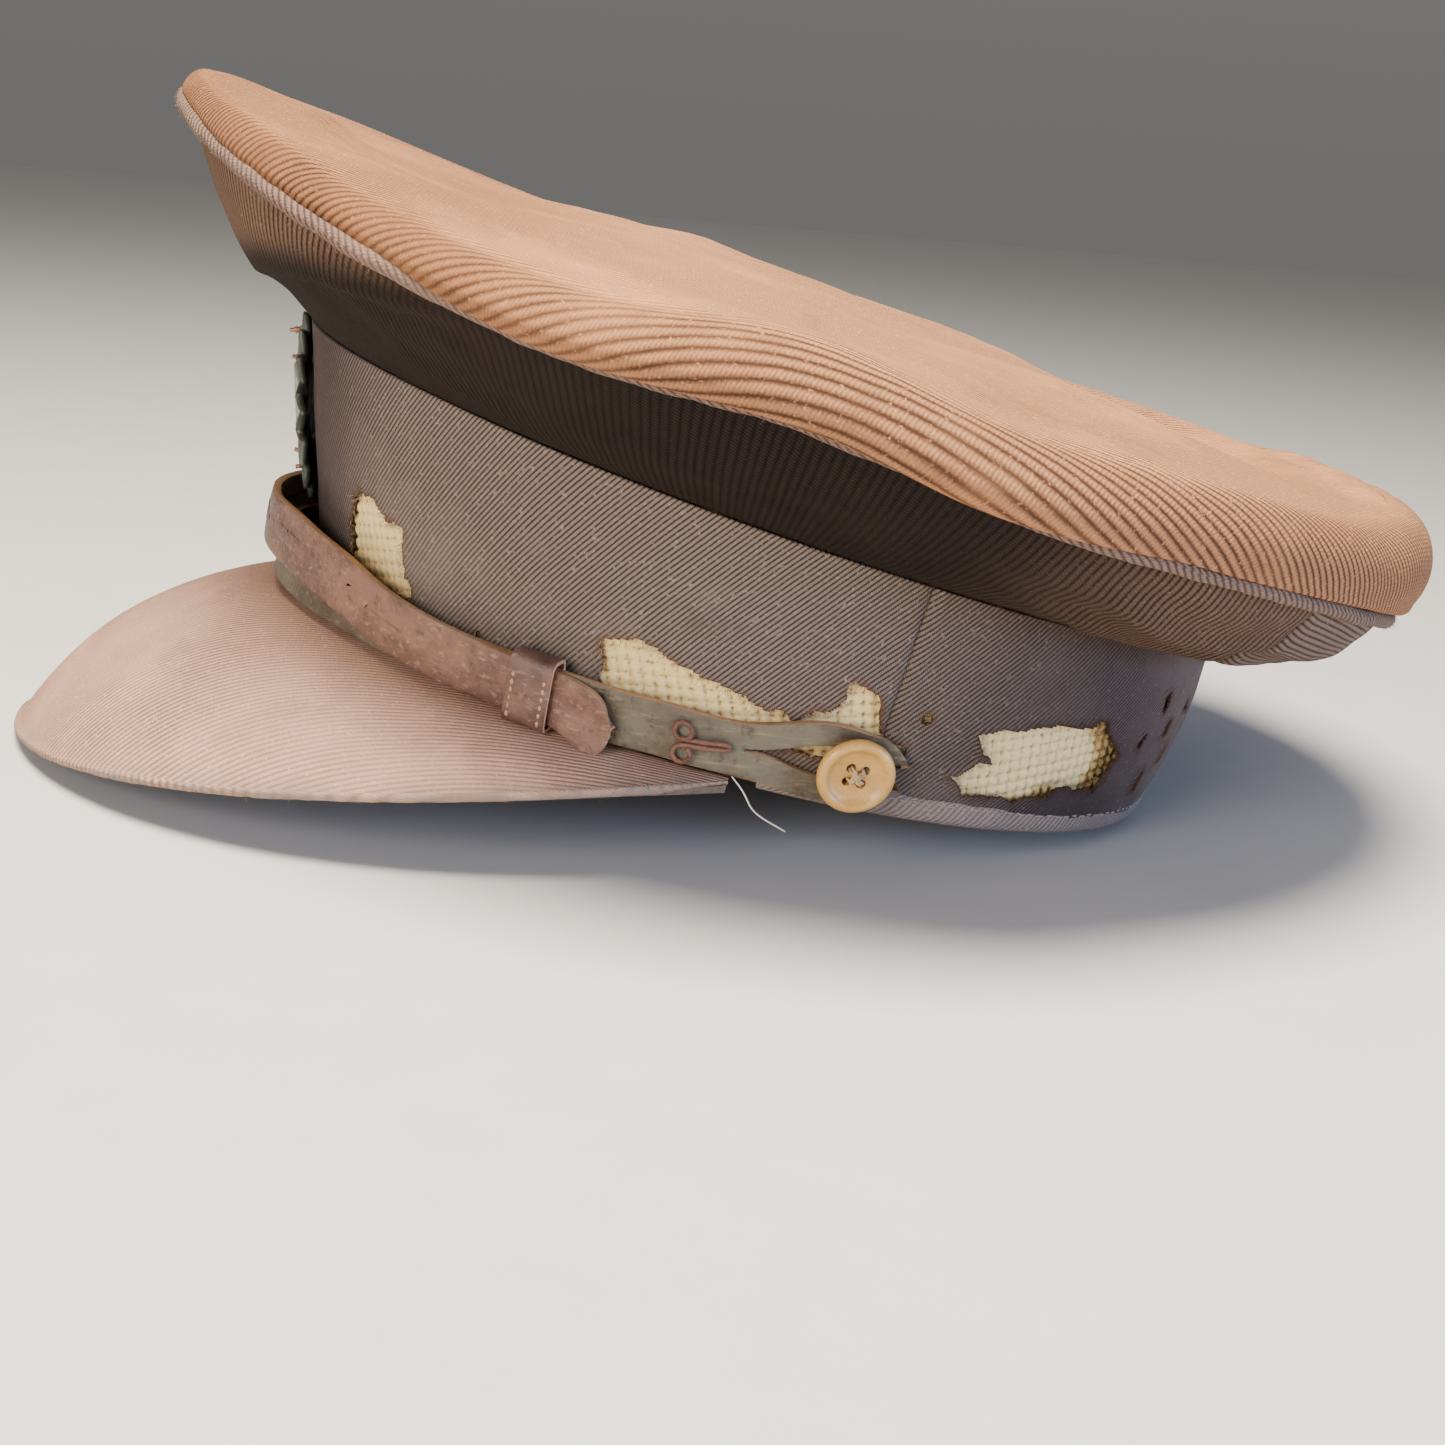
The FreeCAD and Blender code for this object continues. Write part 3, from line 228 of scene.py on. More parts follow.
def join(name, items):
    """One object from several."""
    bpy.ops.object.select_all(action="DESELECT")
    for item in items:
        item.select_set(True)
    bpy.context.view_layer.objects.active = items[0]
    if len(items) > 1:
        bpy.ops.object.join()
    joined = bpy.context.view_layer.objects.active
    joined.name = name
    joined.data.name = name
    return joined


def fibres(name, roots, ways, lengths, radius, seed, curl=0.5):
    """Loose ends of yarn: tapering three-sided hairs that wander from their roots."""
    draw = np.random.RandomState(seed)
    steps = 5
    vertices, faces = [], []
    turn = np.arange(3) * 2 * math.pi / 3
    for n in range(len(roots)):
        way = ways[n] / max(np.linalg.norm(ways[n]), 1e-9)
        point = np.array(roots[n], float)
        bend = draw.normal(0, curl, 3)
        side = np.cross(way, [0.3, 0.5, 0.8])
        side /= np.linalg.norm(side)
        other = np.cross(way, side)
        base = len(vertices)
        for step in range(steps):
            thin = radius * (1.0 - 0.75 * step / (steps - 1))
            for t in turn:
                vertices.append(point + (side * math.cos(t) + other * math.sin(t)) * thin)
            way = way + bend / steps + draw.normal(0, curl * 0.25, 3)
            way /= np.linalg.norm(way)
            point = point + way * lengths[n] / (steps - 1)
        for step in range(steps - 1):
            for j in range(3):
                a, b = base + step * 3 + j, base + step * 3 + (j + 1) % 3
                faces.append([a, b, b + 3, a + 3])
        faces.append([base + 2, base + 1, base])
        top = base + (steps - 1) * 3
        faces.append([top, top + 1, top + 2])
    return mesh_object(name, place(np.array(vertices)), faces)


# ------------------------------------------------------------------ the cap's own surfaces


def oval(half_width, half_length, forward, turn, z):
    x = half_width * np.sin(turn)
    y = -forward - half_length * np.cos(turn)
    return np.stack(np.broadcast_arrays(x, y, z), -1)


def seam_z(turn):
    """Height of the band's top seam."""
    return SEAM_HEIGHT + SEAM_FALL * np.cos(turn)


def band_oval(level):
    """Half length, half width and forward shift of the band; level is 0 at its edge and 1 at its top seam."""
    length = RING_LENGTH * (1 - level) + SEAM_LENGTH * level
    width = RING_WIDTH * (1 - level) + SEAM_WIDTH * level
    return length, width, SEAM_FORWARD * level - RING_BACK * (1 - level)


def band(turn, z, out=0.0):
    """A point of the band's outside, or out millimetres off it."""
    length, width, forward = band_oval(z / seam_z(turn))
    return oval(width + out, length + out, forward, turn, z)


def band_along(turn, z):
    return band(turn + 0.01, z) - band(turn - 0.01, z)


def band_normal(turn, z):
    along = band_along(turn, z)
    up = band(turn, z + 1.0) - band(turn, z - 1.0)
    return unit(np.cross(along, up))


def welt_z(x_share, y_share):
    """The curved sheet in which the welt lies."""
    return WELT_HEIGHT - WELT_FALL * y_share - (WELT_DROOP - WELT_TWIST * y_share) * x_share**2


def from_front(turn):
    """The angle from the front, 0 to 180 degrees, on either side."""
    return 180.0 - np.abs(np.degrees(turn) % 360.0 - 180.0)


def side_lift(turn):
    """The rim is drawn up a little where it puffs out at the side."""
    return 4.2 * bell(from_front(turn), 86.0, 13.0)


def welt(turn):
    """The seam of crown and quarters."""
    z = welt_z(np.sin(turn), -np.cos(turn)) + side_lift(turn)
    return oval(WELT_WIDTH, WELT_LENGTH, WELT_FORWARD, turn, z)


def quarter(turn, rise):
    """The crown's side; rise is 0 at the band and 1 at the welt."""
    low = oval(SEAM_WIDTH, SEAM_LENGTH, SEAM_FORWARD, turn, seam_z(turn) + SEAM_SLIT)
    chord = welt(turn) - low
    reach = np.linalg.norm(chord, axis=-1, keepdims=True)
    chord = chord * (1.0 - WELT_SLIT / reach)
    outward = unit(low * [1, 1, 0])
    flat = (chord * outward).sum(-1, keepdims=True)
    belly = unit(outward * chord[..., 2:3] - UP * flat)
    rise = rise[..., None]
    return low + chord * rise + belly * (4 * rise * (1 - rise) * QUARTER_BULGE)


def crown(turn, share):
    """The crown top; share is 0 in its middle and 1 at the welt.

    Returns points, cloth coordinates, the way outward, and the share of the rolled rim.
    """
    end = np.where(np.cos(turn) > 0, ROLL_FRONT, ROLL_REAR)
    radius = ROLL_SIDE + (end - ROLL_SIDE) * np.cos(turn) ** 2
    outward = unit(oval(WELT_LENGTH, WELT_WIDTH, 0.0, turn, 0.0))
    edge = welt(turn)
    flat_end = edge - outward * (radius * math.cos(ROLL_START))[..., None]
    flat = 1.0 - ROLL_SHARE
    ring = np.clip(share / flat, 0, 1)
    roll = np.clip((share - flat) / ROLL_SHARE, 0, 1)
    middle = np.array([0, -WELT_FORWARD, 0.0])
    spot = middle + (flat_end * [1, 1, 0] - middle) * ring[..., None]
    x_share = spot[..., 0] / WELT_WIDTH
    y_share = (spot[..., 1] + WELT_FORWARD) / WELT_LENGTH
    rim = ring**DOME_POWER
    top = radius * (1 + math.sin(ROLL_START))
    dome = DOME_RISE * (1 + DOME_LEAN * y_share)
    spot[..., 2] = welt_z(x_share, y_share) + top * rim + dome * (1 - rim) + side_lift(turn) * ring**6
    tilt = math.pi / 2 - roll * (math.pi / 2 + ROLL_START - WELT_SLIT / radius)
    out = radius * (np.cos(tilt) - math.cos(ROLL_START))
    rise = radius * (np.sin(tilt) + math.sin(ROLL_START))
    rolled = edge + outward * out[..., None]
    rolled[..., 2] += rise
    points = np.where((share >= flat)[..., None], rolled, spot)
    arc = roll * (math.pi / 2 + ROLL_START) * radius
    cloth = spot[..., :2] + outward[..., :2] * arc[..., None]
    return points, cloth, outward, roll


def visor(place_share, way):
    """The visor's top; place_share is -1 at the right corner and 1 at the left, way grows to the edge."""
    turn = np.radians(place_share * VISOR_REACH)
    outward = unit(np.stack([np.sin(turn) / RING_WIDTH, -np.cos(turn) / RING_LENGTH, turn * 0], -1))
    slope = np.radians(VISOR_SLOPE - VISOR_FLATTEN * place_share**2)[..., None]
    down = outward * np.cos(slope) - UP * np.sin(slope)
    normal = outward * np.sin(slope) + UP * np.cos(slope)
    root = band(turn, turn * 0.0) - UP * VISOR_DROP
    length = (1.0 - np.abs(place_share) ** VISOR_ROUND) ** VISOR_TAPER * VISOR_LENGTH
    flatter = (1.0 - place_share**2) * length / VISOR_LENGTH
    camber = VISOR_CAMBER * 4 * way * (1 - way) * flatter
    return root + down * (length * way)[..., None] + normal * camber[..., None], normal, down


def strap_off(angle):
    """How far the straps stand off the band: more at the keepers, in front of them, and most at the front."""
    keeper = KEEPER_BULGE * bell(np.abs(angle), KEEPER_AT, 14.0) + 0.9 * bell(np.abs(angle), 46.0, 9.0)
    return STRAP_REST + keeper + STRAP_LOOP * bell(angle, 0.0, 30.0)


def strap_width(own):
    """Width at an angle of the strap's own, which grows from its tab to its buttoned end."""
    width = STRAP_WIDTH + (STRAP_HEAD - STRAP_WIDTH) * smooth((own - 88.0) / 10.0)
    near_end = np.clip((own - (STRAP_END - 4.5)) / 4.5, 0, None)
    near_tab = np.clip((3.4 - STRAP_TAB - own) / 3.4, 0, 1)
    return width * (1.0 - 0.62 * near_end**2.2) * np.sqrt(1.0 - 0.94 * near_tab**2)


def strap_middle(own, outer):
    """Height of the strap's middle line above the band's edge."""
    height = STRAP_LOW + (BUTTON_HEIGHT - STRAP_LOW) * smooth((own - 82.0) / 18.0)
    if outer:
        height = height + STRAP_RISE * np.exp(-((own / 40.0) ** 4))
    return height


def strap_point(own, across, outer, extra=0.0):
    """A point of a strap's outside; across is in millimetres from its middle line."""
    side = -1.0 if outer else 1.0
    angle = own * side
    off = strap_off(angle) + STRAP_THICK + extra
    if outer:
        off = off + (STRAP_THICK + STRAP_LAP) * (1.0 - smooth((own - 78.0) / 14.0))
    middle = strap_middle(own, outer)
    turn = np.radians(angle)
    point = band(turn, middle, off)
    normal = band_normal(turn, middle)
    at_side = np.abs(np.sin(turn))
    point = point + across[..., None] * UP
    flat = normal * [1, 1, 0]
    return point - flat * (normal[..., 2] * across * at_side)[..., None]


def button_frame(side):
    """Middle, across, up and outward directions of a side button."""
    turn = np.radians(BUTTON_AT * side)
    outward = band_normal(turn, np.float64(BUTTON_HEIGHT))
    across = unit(np.cross(UP, outward))
    return band(turn, np.float64(BUTTON_HEIGHT)), across, np.cross(outward, across), outward


# ------------------------------------------------------------------ materials


class Finish:
    """A node material with a few shorthands."""

    def __init__(self, name, roughness=0.8, metallic=0.0, sheen=0.0, sheen_roughness=0.5, coat=0.0):
        self.material = bpy.data.materials.new(name)
        self.material.use_nodes = True
        self.tree = self.material.node_tree
        self.shader = next(n for n in self.tree.nodes if n.type == "BSDF_PRINCIPLED")
        self.shader.inputs["Roughness"].default_value = roughness
        self.shader.inputs["Metallic"].default_value = metallic
        self.shader.inputs["Sheen Weight"].default_value = sheen
        self.shader.inputs["Sheen Roughness"].default_value = sheen_roughness
        self.shader.inputs["Coat Weight"].default_value = coat
        self.shader.inputs["Coat Roughness"].default_value = 0.3

    def node(self, kind, **inputs):
        made = self.tree.nodes.new(kind)
        for name, value in inputs.items():
            self.feed(made.inputs[name.replace("_", " ")], value)
        return made

    def feed(self, socket, value):
        if isinstance(value, bpy.types.NodeSocket):
            self.tree.links.new(value, socket)
        else:
            socket.default_value = value

    def math(self, operation, a, b=0.0, c=0.0, clamp=False):
        made = self.tree.nodes.new("ShaderNodeMath")
        made.operation = operation
        made.use_clamp = clamp
        for socket, value in zip(made.inputs, (a, b, c)):
            self.feed(socket, value)
        return made.outputs[0]

    def times(self, a, b):
        return self.math("MULTIPLY", a, b)

    def plus(self, a, b):
        return self.math("ADD", a, b)

    def over(self, a, b):
        return self.math("DIVIDE", a, b)

    def cloth_uv(self):
        """Both coordinates of the cloth, in millimetres."""
        uv = self.tree.nodes.new("ShaderNodeUVMap")
        uv.uv_map = "cloth"
        split = self.node("ShaderNodeSeparateXYZ", Vector=uv.outputs[0])
        return split.outputs[0], split.outputs[1]

    def vector(self, x, y, z=0.0):
        return self.node("ShaderNodeCombineXYZ", X=x, Y=y, Z=z).outputs[0]

    def here(self):
        """Object coordinates in metres."""
        return self.tree.nodes.new("ShaderNodeTexCoord").outputs["Object"]

    def noise(self, where, scale, detail=3.0, roughness=0.55):
        made = self.node("ShaderNodeTexNoise", Vector=where, Scale=scale, Detail=detail, Roughness=roughness)
        return made.outputs[0]

    def range(self, value, low, high, to_low=0.0, to_high=1.0):
        made = self.node("ShaderNodeMapRange", Value=value)
        for name, number in (("From Min", low), ("From Max", high), ("To Min", to_low), ("To Max", to_high)):
            made.inputs[name].default_value = number
        return made.outputs[0]

    def mix(self, share, a, b, blend="MIX"):
        made = self.tree.nodes.new("ShaderNodeMix")
        made.data_type = "RGBA"
        made.blend_type = blend
        for socket, value in ((made.inputs[0], share), (made.inputs[6], a), (made.inputs[7], b)):
            if isinstance(value, tuple):
                value = (*value, 1.0)
            self.feed(socket, value)
        return made.outputs[2]

    def attribute(self, name):
        made = self.tree.nodes.new("ShaderNodeAttribute")
        made.attribute_name = name
        return made.outputs["Fac"]

    def finish(self, colour, height, strength, depth, roughness=None):
        """Joins colour, bump and roughness to the shader; depth is in millimetres."""
        self.feed(self.shader.inputs["Base Color"], colour)
        if roughness is not None:
            self.feed(self.shader.inputs["Roughness"], roughness)
        bump = self.node("ShaderNodeBump", Height=height, Strength=strength, Distance=depth * MM)
        self.feed(self.shader.inputs["Normal"], bump.outputs[0])
        return self.material


def whipcord(name, light, dark, pitch, slant=0.0, worn=0.35, edge=None, shade=None):
    """Ribbed wool: raised cords of twisted yarn, faded and stained in places.

    edge is the colour of frayed or rubbed cloth, where the mesh has "paint"; shade is a colour multiplied in
    as painted shade, as far as the mesh's "shelter" value goes.
    """
    look = Finish(name, roughness=0.95, sheen=0.05, sheen_roughness=0.5)
    look.shader.inputs["Specular IOR Level"].default_value = 0.15
    look.shader.inputs["Sheen Tint"].default_value = (*light, 1.0)
    u, v = look.cloth_uv()
    lean = math.radians(slant)
    across = look.plus(look.times(u, math.cos(lean)), look.times(v, math.sin(lean)))
    along = look.math("SUBTRACT", look.times(v, math.cos(lean)), look.times(u, math.sin(lean)))
    slow = look.noise(look.vector(look.over(across, 22.0), look.over(along, 70.0)), 1.0)
    bent = look.plus(across, look.times(slow, 1.4 * pitch))
    phase = look.over(bent, pitch)
    wave = look.math("MULTIPLY_ADD", look.math("COSINE", look.times(phase, 2 * math.pi)), 0.5, 0.5)
    ridge = look.math("POWER", wave, 0.6)
    twist = look.math("SINE", look.times(look.plus(look.over(along, 0.55 * pitch), phase), 2 * math.pi))
    yarn = look.math("MULTIPLY_ADD", twist, 0.16, 0.84)
    fuzz = look.noise(look.vector(look.times(across, 3.2), look.times(along, 1.5)), 1.0, 4.0, 0.7)
    height = look.math("MULTIPLY_ADD", fuzz, 0.55, look.times(ridge, yarn))
    where = look.here()
    fade = look.noise(where, 16.0, 4.0, 0.6)
    dirt = look.noise(where, 34.0, 5.0, 0.65)
    specks = look.noise(where, 1100.0, 2.0, 0.5)
    tone = look.math("MULTIPLY_ADD", look.math("SUBTRACT", fuzz, 0.5), 0.9, look.times(ridge, yarn))
    colour = look.mix(look.range(tone, 0.1, 0.8), dark, light)
    faded = tuple(min(1.0, c * (1.0 + worn)) for c in light)
    colour = look.mix(look.range(fade, 0.46, 0.72, 0.0, 0.55), colour, faded)
    stain = tuple(0.25 * a + 0.6 * b for a, b in zip(light, dark))
    colour = look.mix(look.range(dirt, 0.55, 0.74, 0.0, 0.55), colour, stain)
    lint = tuple(min(1.0, 0.06 + 1.6 * c) for c in light)
    colour = look.mix(look.range(specks, 0.62, 0.74, 0.0, 0.5), colour, lint)
    if edge:
        patchy = look.range(dirt, 0.40, 0.60, 0.15, 1.0)
        colour = look.mix(look.math("MULTIPLY", look.attribute("paint"), patchy, clamp=True), colour, edge)
    # Painted shade: the colour is multiplied by shade where the mesh's "shelter" value is high.
    if shade:
        colour = look.mix(look.attribute("shelter"), colour, shade, "MULTIPLY")
    return look.finish(colour, height, 0.75, 0.34 * pitch)


def woven_straw(name):
    """Flat cream strands in a plain weave; the height is in the mesh, and its "paint" lays painted shade in
    the gaps between strands.
    """
    look = Finish(name, roughness=0.75)
    u, v = look.cloth_uv()
    fibre = look.noise(look.vector(look.times(u, 1.1), look.times(v, 1.1)), 1.6, 5.0, 0.7)
    strand = look.noise(look.vector(look.times(u, 0.22), look.times(v, 0.4)), 1.0, 2.0)
    colour = look.mix(look.range(fibre, 0.3, 0.7), (0.64, 0.42, 0.16), (1.0, 0.79, 0.36))
    colour = look.mix(look.range(strand, 0.45, 0.7, 0.0, 0.55), colour, (0.80, 0.57, 0.25))
    # Painted shade: dark brown where the "paint" height is low, in the gaps between strands.
    colour = look.mix(look.range(look.attribute("paint"), 0.05, 0.6, 0.9, 0.0), colour, (0.15, 0.08, 0.03))
    return look.finish(colour, fibre, 0.6, 0.15)


def leather(name, base, light, scratch, roughness=0.5, grain=1500.0):
    """Pored hide with cracks, and scratches along the band."""
    look = Finish(name, roughness=roughness)
    where = look.here()
    tone = look.noise(where, 55.0, 5.0, 0.65)
    pores = look.tree.nodes.new("ShaderNodeTexVoronoi")
    pores.inputs["Scale"].default_value = grain
    look.feed(pores.inputs["Vector"], where)
    streak = look.node("ShaderNodeMapping", Vector=where)
    streak.inputs["Scale"].default_value = (900.0, 60.0, 900.0)
    scratches = look.noise(streak.outputs[0], 1.0, 4.0, 0.7)
    crack = look.noise(where, 300.0, 6.0, 0.75)
    colour = look.mix(look.range(tone, 0.40, 0.60), base, light)
    colour = look.mix(look.range(scratches, 0.55, 0.70, 0.0, 0.7), colour, scratch)
    colour = look.mix(look.range(crack, 0.54, 0.68, 0.0, 0.7), colour, tuple(c * 0.35 for c in base))
    height = look.plus(look.times(pores.outputs[0], 0.4), look.times(crack, 0.9))
    rough = look.range(tone, 0.3, 0.7, roughness - 0.12, roughness + 0.2)
    return look.finish(colour, height, 0.6, 0.3, rough)


def fibrous(name, base, light, scale=900.0):
    """Cut leather edges, yarn, board: a mottled fibrous surface."""
    look = Finish(name, roughness=0.85)
    where = look.here()
    fine = look.noise(where, scale, 5.0, 0.7)
    broad = look.noise(where, scale / 12.0, 3.0)
    colour = look.mix(look.range(fine, 0.3, 0.7), base, light)
    colour = look.mix(look.range(broad, 0.5, 0.75, 0.0, 0.5), colour, tuple(c * 0.55 for c in base))
    return look.finish(colour, fine, 0.6, 0.15)


def metal(name, base, light, roughness, metallic, patina, grain=260.0):
    """Dull metal, spotted with its patina."""
    look = Finish(name, roughness=roughness, metallic=metallic)
    where = look.here()
    broad = look.noise(where, grain / 4.0, 4.0)
    fine = look.noise(where, grain * 4.0, 5.0, 0.7)
    colour = look.mix(look.range(broad, 0.35, 0.7), base, light)
    colour = look.mix(look.range(fine, 0.5, 0.66, 0.0, 0.8), colour, patina)
    rough = look.range(fine, 0.3, 0.7, roughness - 0.15, roughness + 0.2)
    return look.finish(colour, fine, 0.4, 0.12, rough)


def lining(name, base, light):
    """Plain cotton weave, by place."""
    look = Finish(name, roughness=0.9, sheen=0.15)
    where = look.here()
    split = look.node("ShaderNodeSeparateXYZ", Vector=where)
    threads = 2 * math.pi / (0.7 * MM)
    across = look.math("SINE", look.times(split.outputs[0], threads))
    along = look.math("SINE", look.times(look.plus(split.outputs[1], split.outputs[2]), threads))
    weave = look.math("MULTIPLY_ADD", look.times(across, along), 0.5, 0.5)
    stains = look.noise(where, 22.0, 5.0, 0.6)
    colour = look.mix(weave, base, light)
    colour = look.mix(look.range(stains, 0.52, 0.72, 0.0, 0.7), colour, tuple(c * 0.5 for c in base))
    return look.finish(colour, weave, 0.35, 0.15)


def button_plastic(name):
    """Swirled mustard plastic with grime."""
    look = Finish(name, roughness=0.36, coat=0.25)
    look.shader.inputs["Subsurface Weight"].default_value = 0.12
    look.shader.inputs["Subsurface Scale"].default_value = 1.0 * MM
    look.shader.inputs["Subsurface Radius"].default_value = (1.0, 0.6, 0.3)
    where = look.here()
    swirl = look.noise(where, 110.0, 3.0)
    grime = look.noise(where, 900.0, 5.0, 0.7)
    colour = look.mix(look.range(swirl, 0.3, 0.7), (0.53, 0.275, 0.055), (0.67, 0.38, 0.10))
    colour = look.mix(look.range(grime, 0.55, 0.74, 0.0, 0.6), colour, (0.15, 0.07, 0.02))
    rough = look.range(grime, 0.3, 0.7, 0.26, 0.55)
    return look.finish(colour, grime, 0.2, 0.08, rough)


# The crown's shade colour is painted shade, laid on its rolled rim and front.
CROWN_CLOTH = whipcord(
    "crown_cloth", (0.48, 0.228, 0.106), (0.085, 0.038, 0.02), 1.55, shade=(0.5, 0.45, 0.42)
)
# Colour multiplied into the quarters as painted shade under the overhang.
PAINTED_SHADE_TINT = (0.06, 0.06, 0.07)
# Painted shade: the quarters are the crown's cloth made darker, since they lie in shade under the rim.
SHADED_QUARTER_CLOTH = whipcord("shaded_quarter_cloth", (0.20, 0.115, 0.07), (0.03, 0.016, 0.010), 1.55, shade=PAINTED_SHADE_TINT)
# The rear quarters' colour is darkened as painted shade too, less than the front ones.
SHADED_REAR_CLOTH = whipcord(
    "shaded_rear_cloth", (0.27, 0.175, 0.13), (0.05, 0.032, 0.024), 1.35, slant=84.0, shade=PAINTED_SHADE_TINT
)
# The band's shade colour is a bluish painted shade, laid on its front and rear.
BAND_CLOTH = whipcord(
    "band_cloth", (0.21, 0.155, 0.122), (0.032, 0.023, 0.019), 0.85, slant=-38.0,
    edge=(0.12, 0.055, 0.025), shade=(0.32, 0.31, 0.36),
)
VISOR_CLOTH = whipcord(
    "visor_cloth", (0.45, 0.265, 0.185), (0.14, 0.074, 0.05), 1.2, edge=(0.21, 0.165, 0.135)
)
EDGE_CLOTH = whipcord("edge_cloth", (0.27, 0.205, 0.165), (0.12, 0.085, 0.068), 1.1, slant=40.0)
CORD_CLOTH = whipcord("cord_cloth", (0.19, 0.122, 0.09), (0.06, 0.037, 0.028), 1.3, slant=50.0)
STRAW = woven_straw("straw")
STRAP = leather("strap", (0.085, 0.036, 0.022), (0.20, 0.10, 0.065), (0.36, 0.22, 0.14), 0.5)
INNER_STRAP = leather("inner_strap", (0.065, 0.042, 0.024), (0.14, 0.117, 0.072), (0.28, 0.20, 0.12), 0.6)
KEEPER = leather("keeper", (0.075, 0.034, 0.023), (0.17, 0.088, 0.060), (0.32, 0.20, 0.14), 0.5)
HEAD_LEATHER = leather("head_leather", (0.20, 0.10, 0.05), (0.33, 0.18, 0.09), (0.42, 0.26, 0.15), 0.5, 900.0)
CUT_EDGE = fibrous("cut_edge", (0.34, 0.175, 0.075), (0.50, 0.29, 0.14))
BOARD = fibrous("board", (0.11, 0.075, 0.05), (0.19, 0.135, 0.09), 600.0)
YARN = fibrous("yarn", (0.42, 0.26, 0.12), (0.64, 0.45, 0.24), 2600.0)
PALE_YARN = fibrous("pale_yarn", (0.62, 0.55, 0.45), (0.85, 0.79, 0.68), 2600.0)
BROWN_YARN = fibrous("brown_yarn", (0.19, 0.10, 0.05), (0.34, 0.20, 0.11), 2600.0)
HEM_YARN = fibrous("hem_yarn", (0.22, 0.16, 0.12), (0.36, 0.28, 0.22), 2600.0)
CANE = fibrous("cane", (0.42, 0.28, 0.14), (0.62, 0.45, 0.25), 500.0)
STEEL = metal("steel", (0.30, 0.28, 0.26), (0.45, 0.43, 0.40), 0.5, 0.9, (0.20, 0.12, 0.07))
RUST = metal("rust", (0.10, 0.04, 0.025), (0.24, 0.11, 0.065), 0.75, 0.3, (0.34, 0.19, 0.13), 900.0)
BRONZE = metal("bronze", (0.065, 0.07, 0.055), (0.12, 0.125, 0.10), 0.55, 0.6, (0.10, 0.12, 0.095), 500.0)
PALE_METAL = metal("pale_metal", (0.22, 0.22, 0.18), (0.38, 0.38, 0.32), 0.5, 0.6, (0.16, 0.17, 0.13), 500.0)
COPPER = metal("copper", (0.28, 0.12, 0.07), (0.46, 0.22, 0.14), 0.5, 0.6, (0.14, 0.10, 0.075), 900.0)
BRASS = metal("brass", (0.36, 0.26, 0.10), (0.50, 0.38, 0.17), 0.4, 0.95, (0.20, 0.15, 0.08))
COTTON = lining("cotton", (0.28, 0.205, 0.13), (0.44, 0.34, 0.23))
PLASTIC = button_plastic("plastic")


def dress(item, *materials):
    item.data.materials.clear()
    for material in materials:
        item.data.materials.append(material)


def piece(item, body, nodes, slot, *materials):
    """Finishes one visible piece."""
    dress(item, *materials)
    if nodes:
        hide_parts(*nodes)
    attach(item, body)


# ------------------------------------------------------------------ the crown


PUFF_AT = 0.74  # where the rolled rim is fattest, as a share of the roll


def crown_swell(x, y, turn, roll):
    """How far the soft cloth stands off its plain form, in millimetres."""
    angle = np.degrees(turn) % 360.0
    around = from_front(turn)
    reach = np.hypot(x / WELT_WIDTH, (y + WELT_FORWARD) / WELT_LENGTH)
    outer = smooth((reach - 0.55) / 0.3)
    rumple = 1.5 * rough_noise(x / 62.0, y / 62.0, 11) + 0.5 * rough_noise(x / 24.0 + 5.0, y / 24.0, 21)
    ridge = 1.6 * bell(around, 38.0, 24.0) * bell(roll, 0.1, 0.35) * outer
    valley = -4.2 * bell(x, 5.0, 72.0) * bell(y, -86.0, 32.0)
    hollow = -5.5 * bell(x, -35.0, 85.0) * bell(y, 92.0, 30.0)
    cushion = 4.6 * bell(around, 180.0, 40.0) * bell(roll, 0.15, 0.5) * smooth((y - 108.0) / 14.0)
    ripples = 0.8 * np.sin((y + 0.5 * np.abs(x)) / 7.5) * bell(np.abs(x), 95.0, 26.0) * bell(y, 20.0, 38.0)
    swell = rumple * (1.0 - 0.6 * roll) + ridge + (valley + hollow) * (1 - roll) + cushion + ripples
    over_hoop = -0.1 - 7.0 * smooth((0.84 - reach) / 0.14)
    swell = np.maximum(swell, over_hoop) * (1.0 - roll**8)
    fat = 1.0 + 4.2 * smooth((around - 50.0) / 22.0) * smooth((118.0 - around) / 18.0)
    fat = fat * (1.0 + 0.3 * lattice_noise(angle / 11.0, 0.0, 23))
    rise = np.clip(roll / PUFF_AT, 0, 1) ** 1.6
    tuck = np.sqrt(np.clip(1.0 - (np.clip(roll - PUFF_AT, 0, None) / (1.0 - PUFF_AT)) ** 2, 0, 1))
    lip = 0.8 * smooth((around - 100.0) / 8.0) * (bell(roll, 0.86, 0.05) - 1.2 * bell(roll, 0.94, 0.03))
    return swell + fat * rise * tuck + lip


def crown_sheet(shares, count, inside=0.0):
    """Points and cloth coordinates of the rumpled crown, or of a sheet lying inside it."""
    turns = np.radians(np.linspace(0, 360, count, endpoint=False))
    share, turn = np.meshgrid(shares, turns, indexing="ij")
    points, cloth, outward, roll = crown(turn, share)
    x, y = points[..., 0], points[..., 1]
    onward = np.roll(points, -1, 1) - np.roll(points, 1, 1)
    normal = unit(np.cross(np.gradient(points, axis=0), onward))
    normal = normal * np.sign(normal[..., 2:3] * 0.2 + (normal * outward).sum(-1, keepdims=True) + 1e-6)
    swell = crown_swell(x, y, turn, roll)
    normal[:3] = UP
    points = points + normal * (swell - inside)[..., None]
    # Painted shade: darker on the rolled rim and towards the front.
    shade_share = 0.6 * smooth(roll / 0.35) + 0.5 * smooth((-30.0 - y) / 70.0)
    return points, np.concatenate([cloth, cloth[:, :1]], 1), np.minimum(shade_share, 1.0)


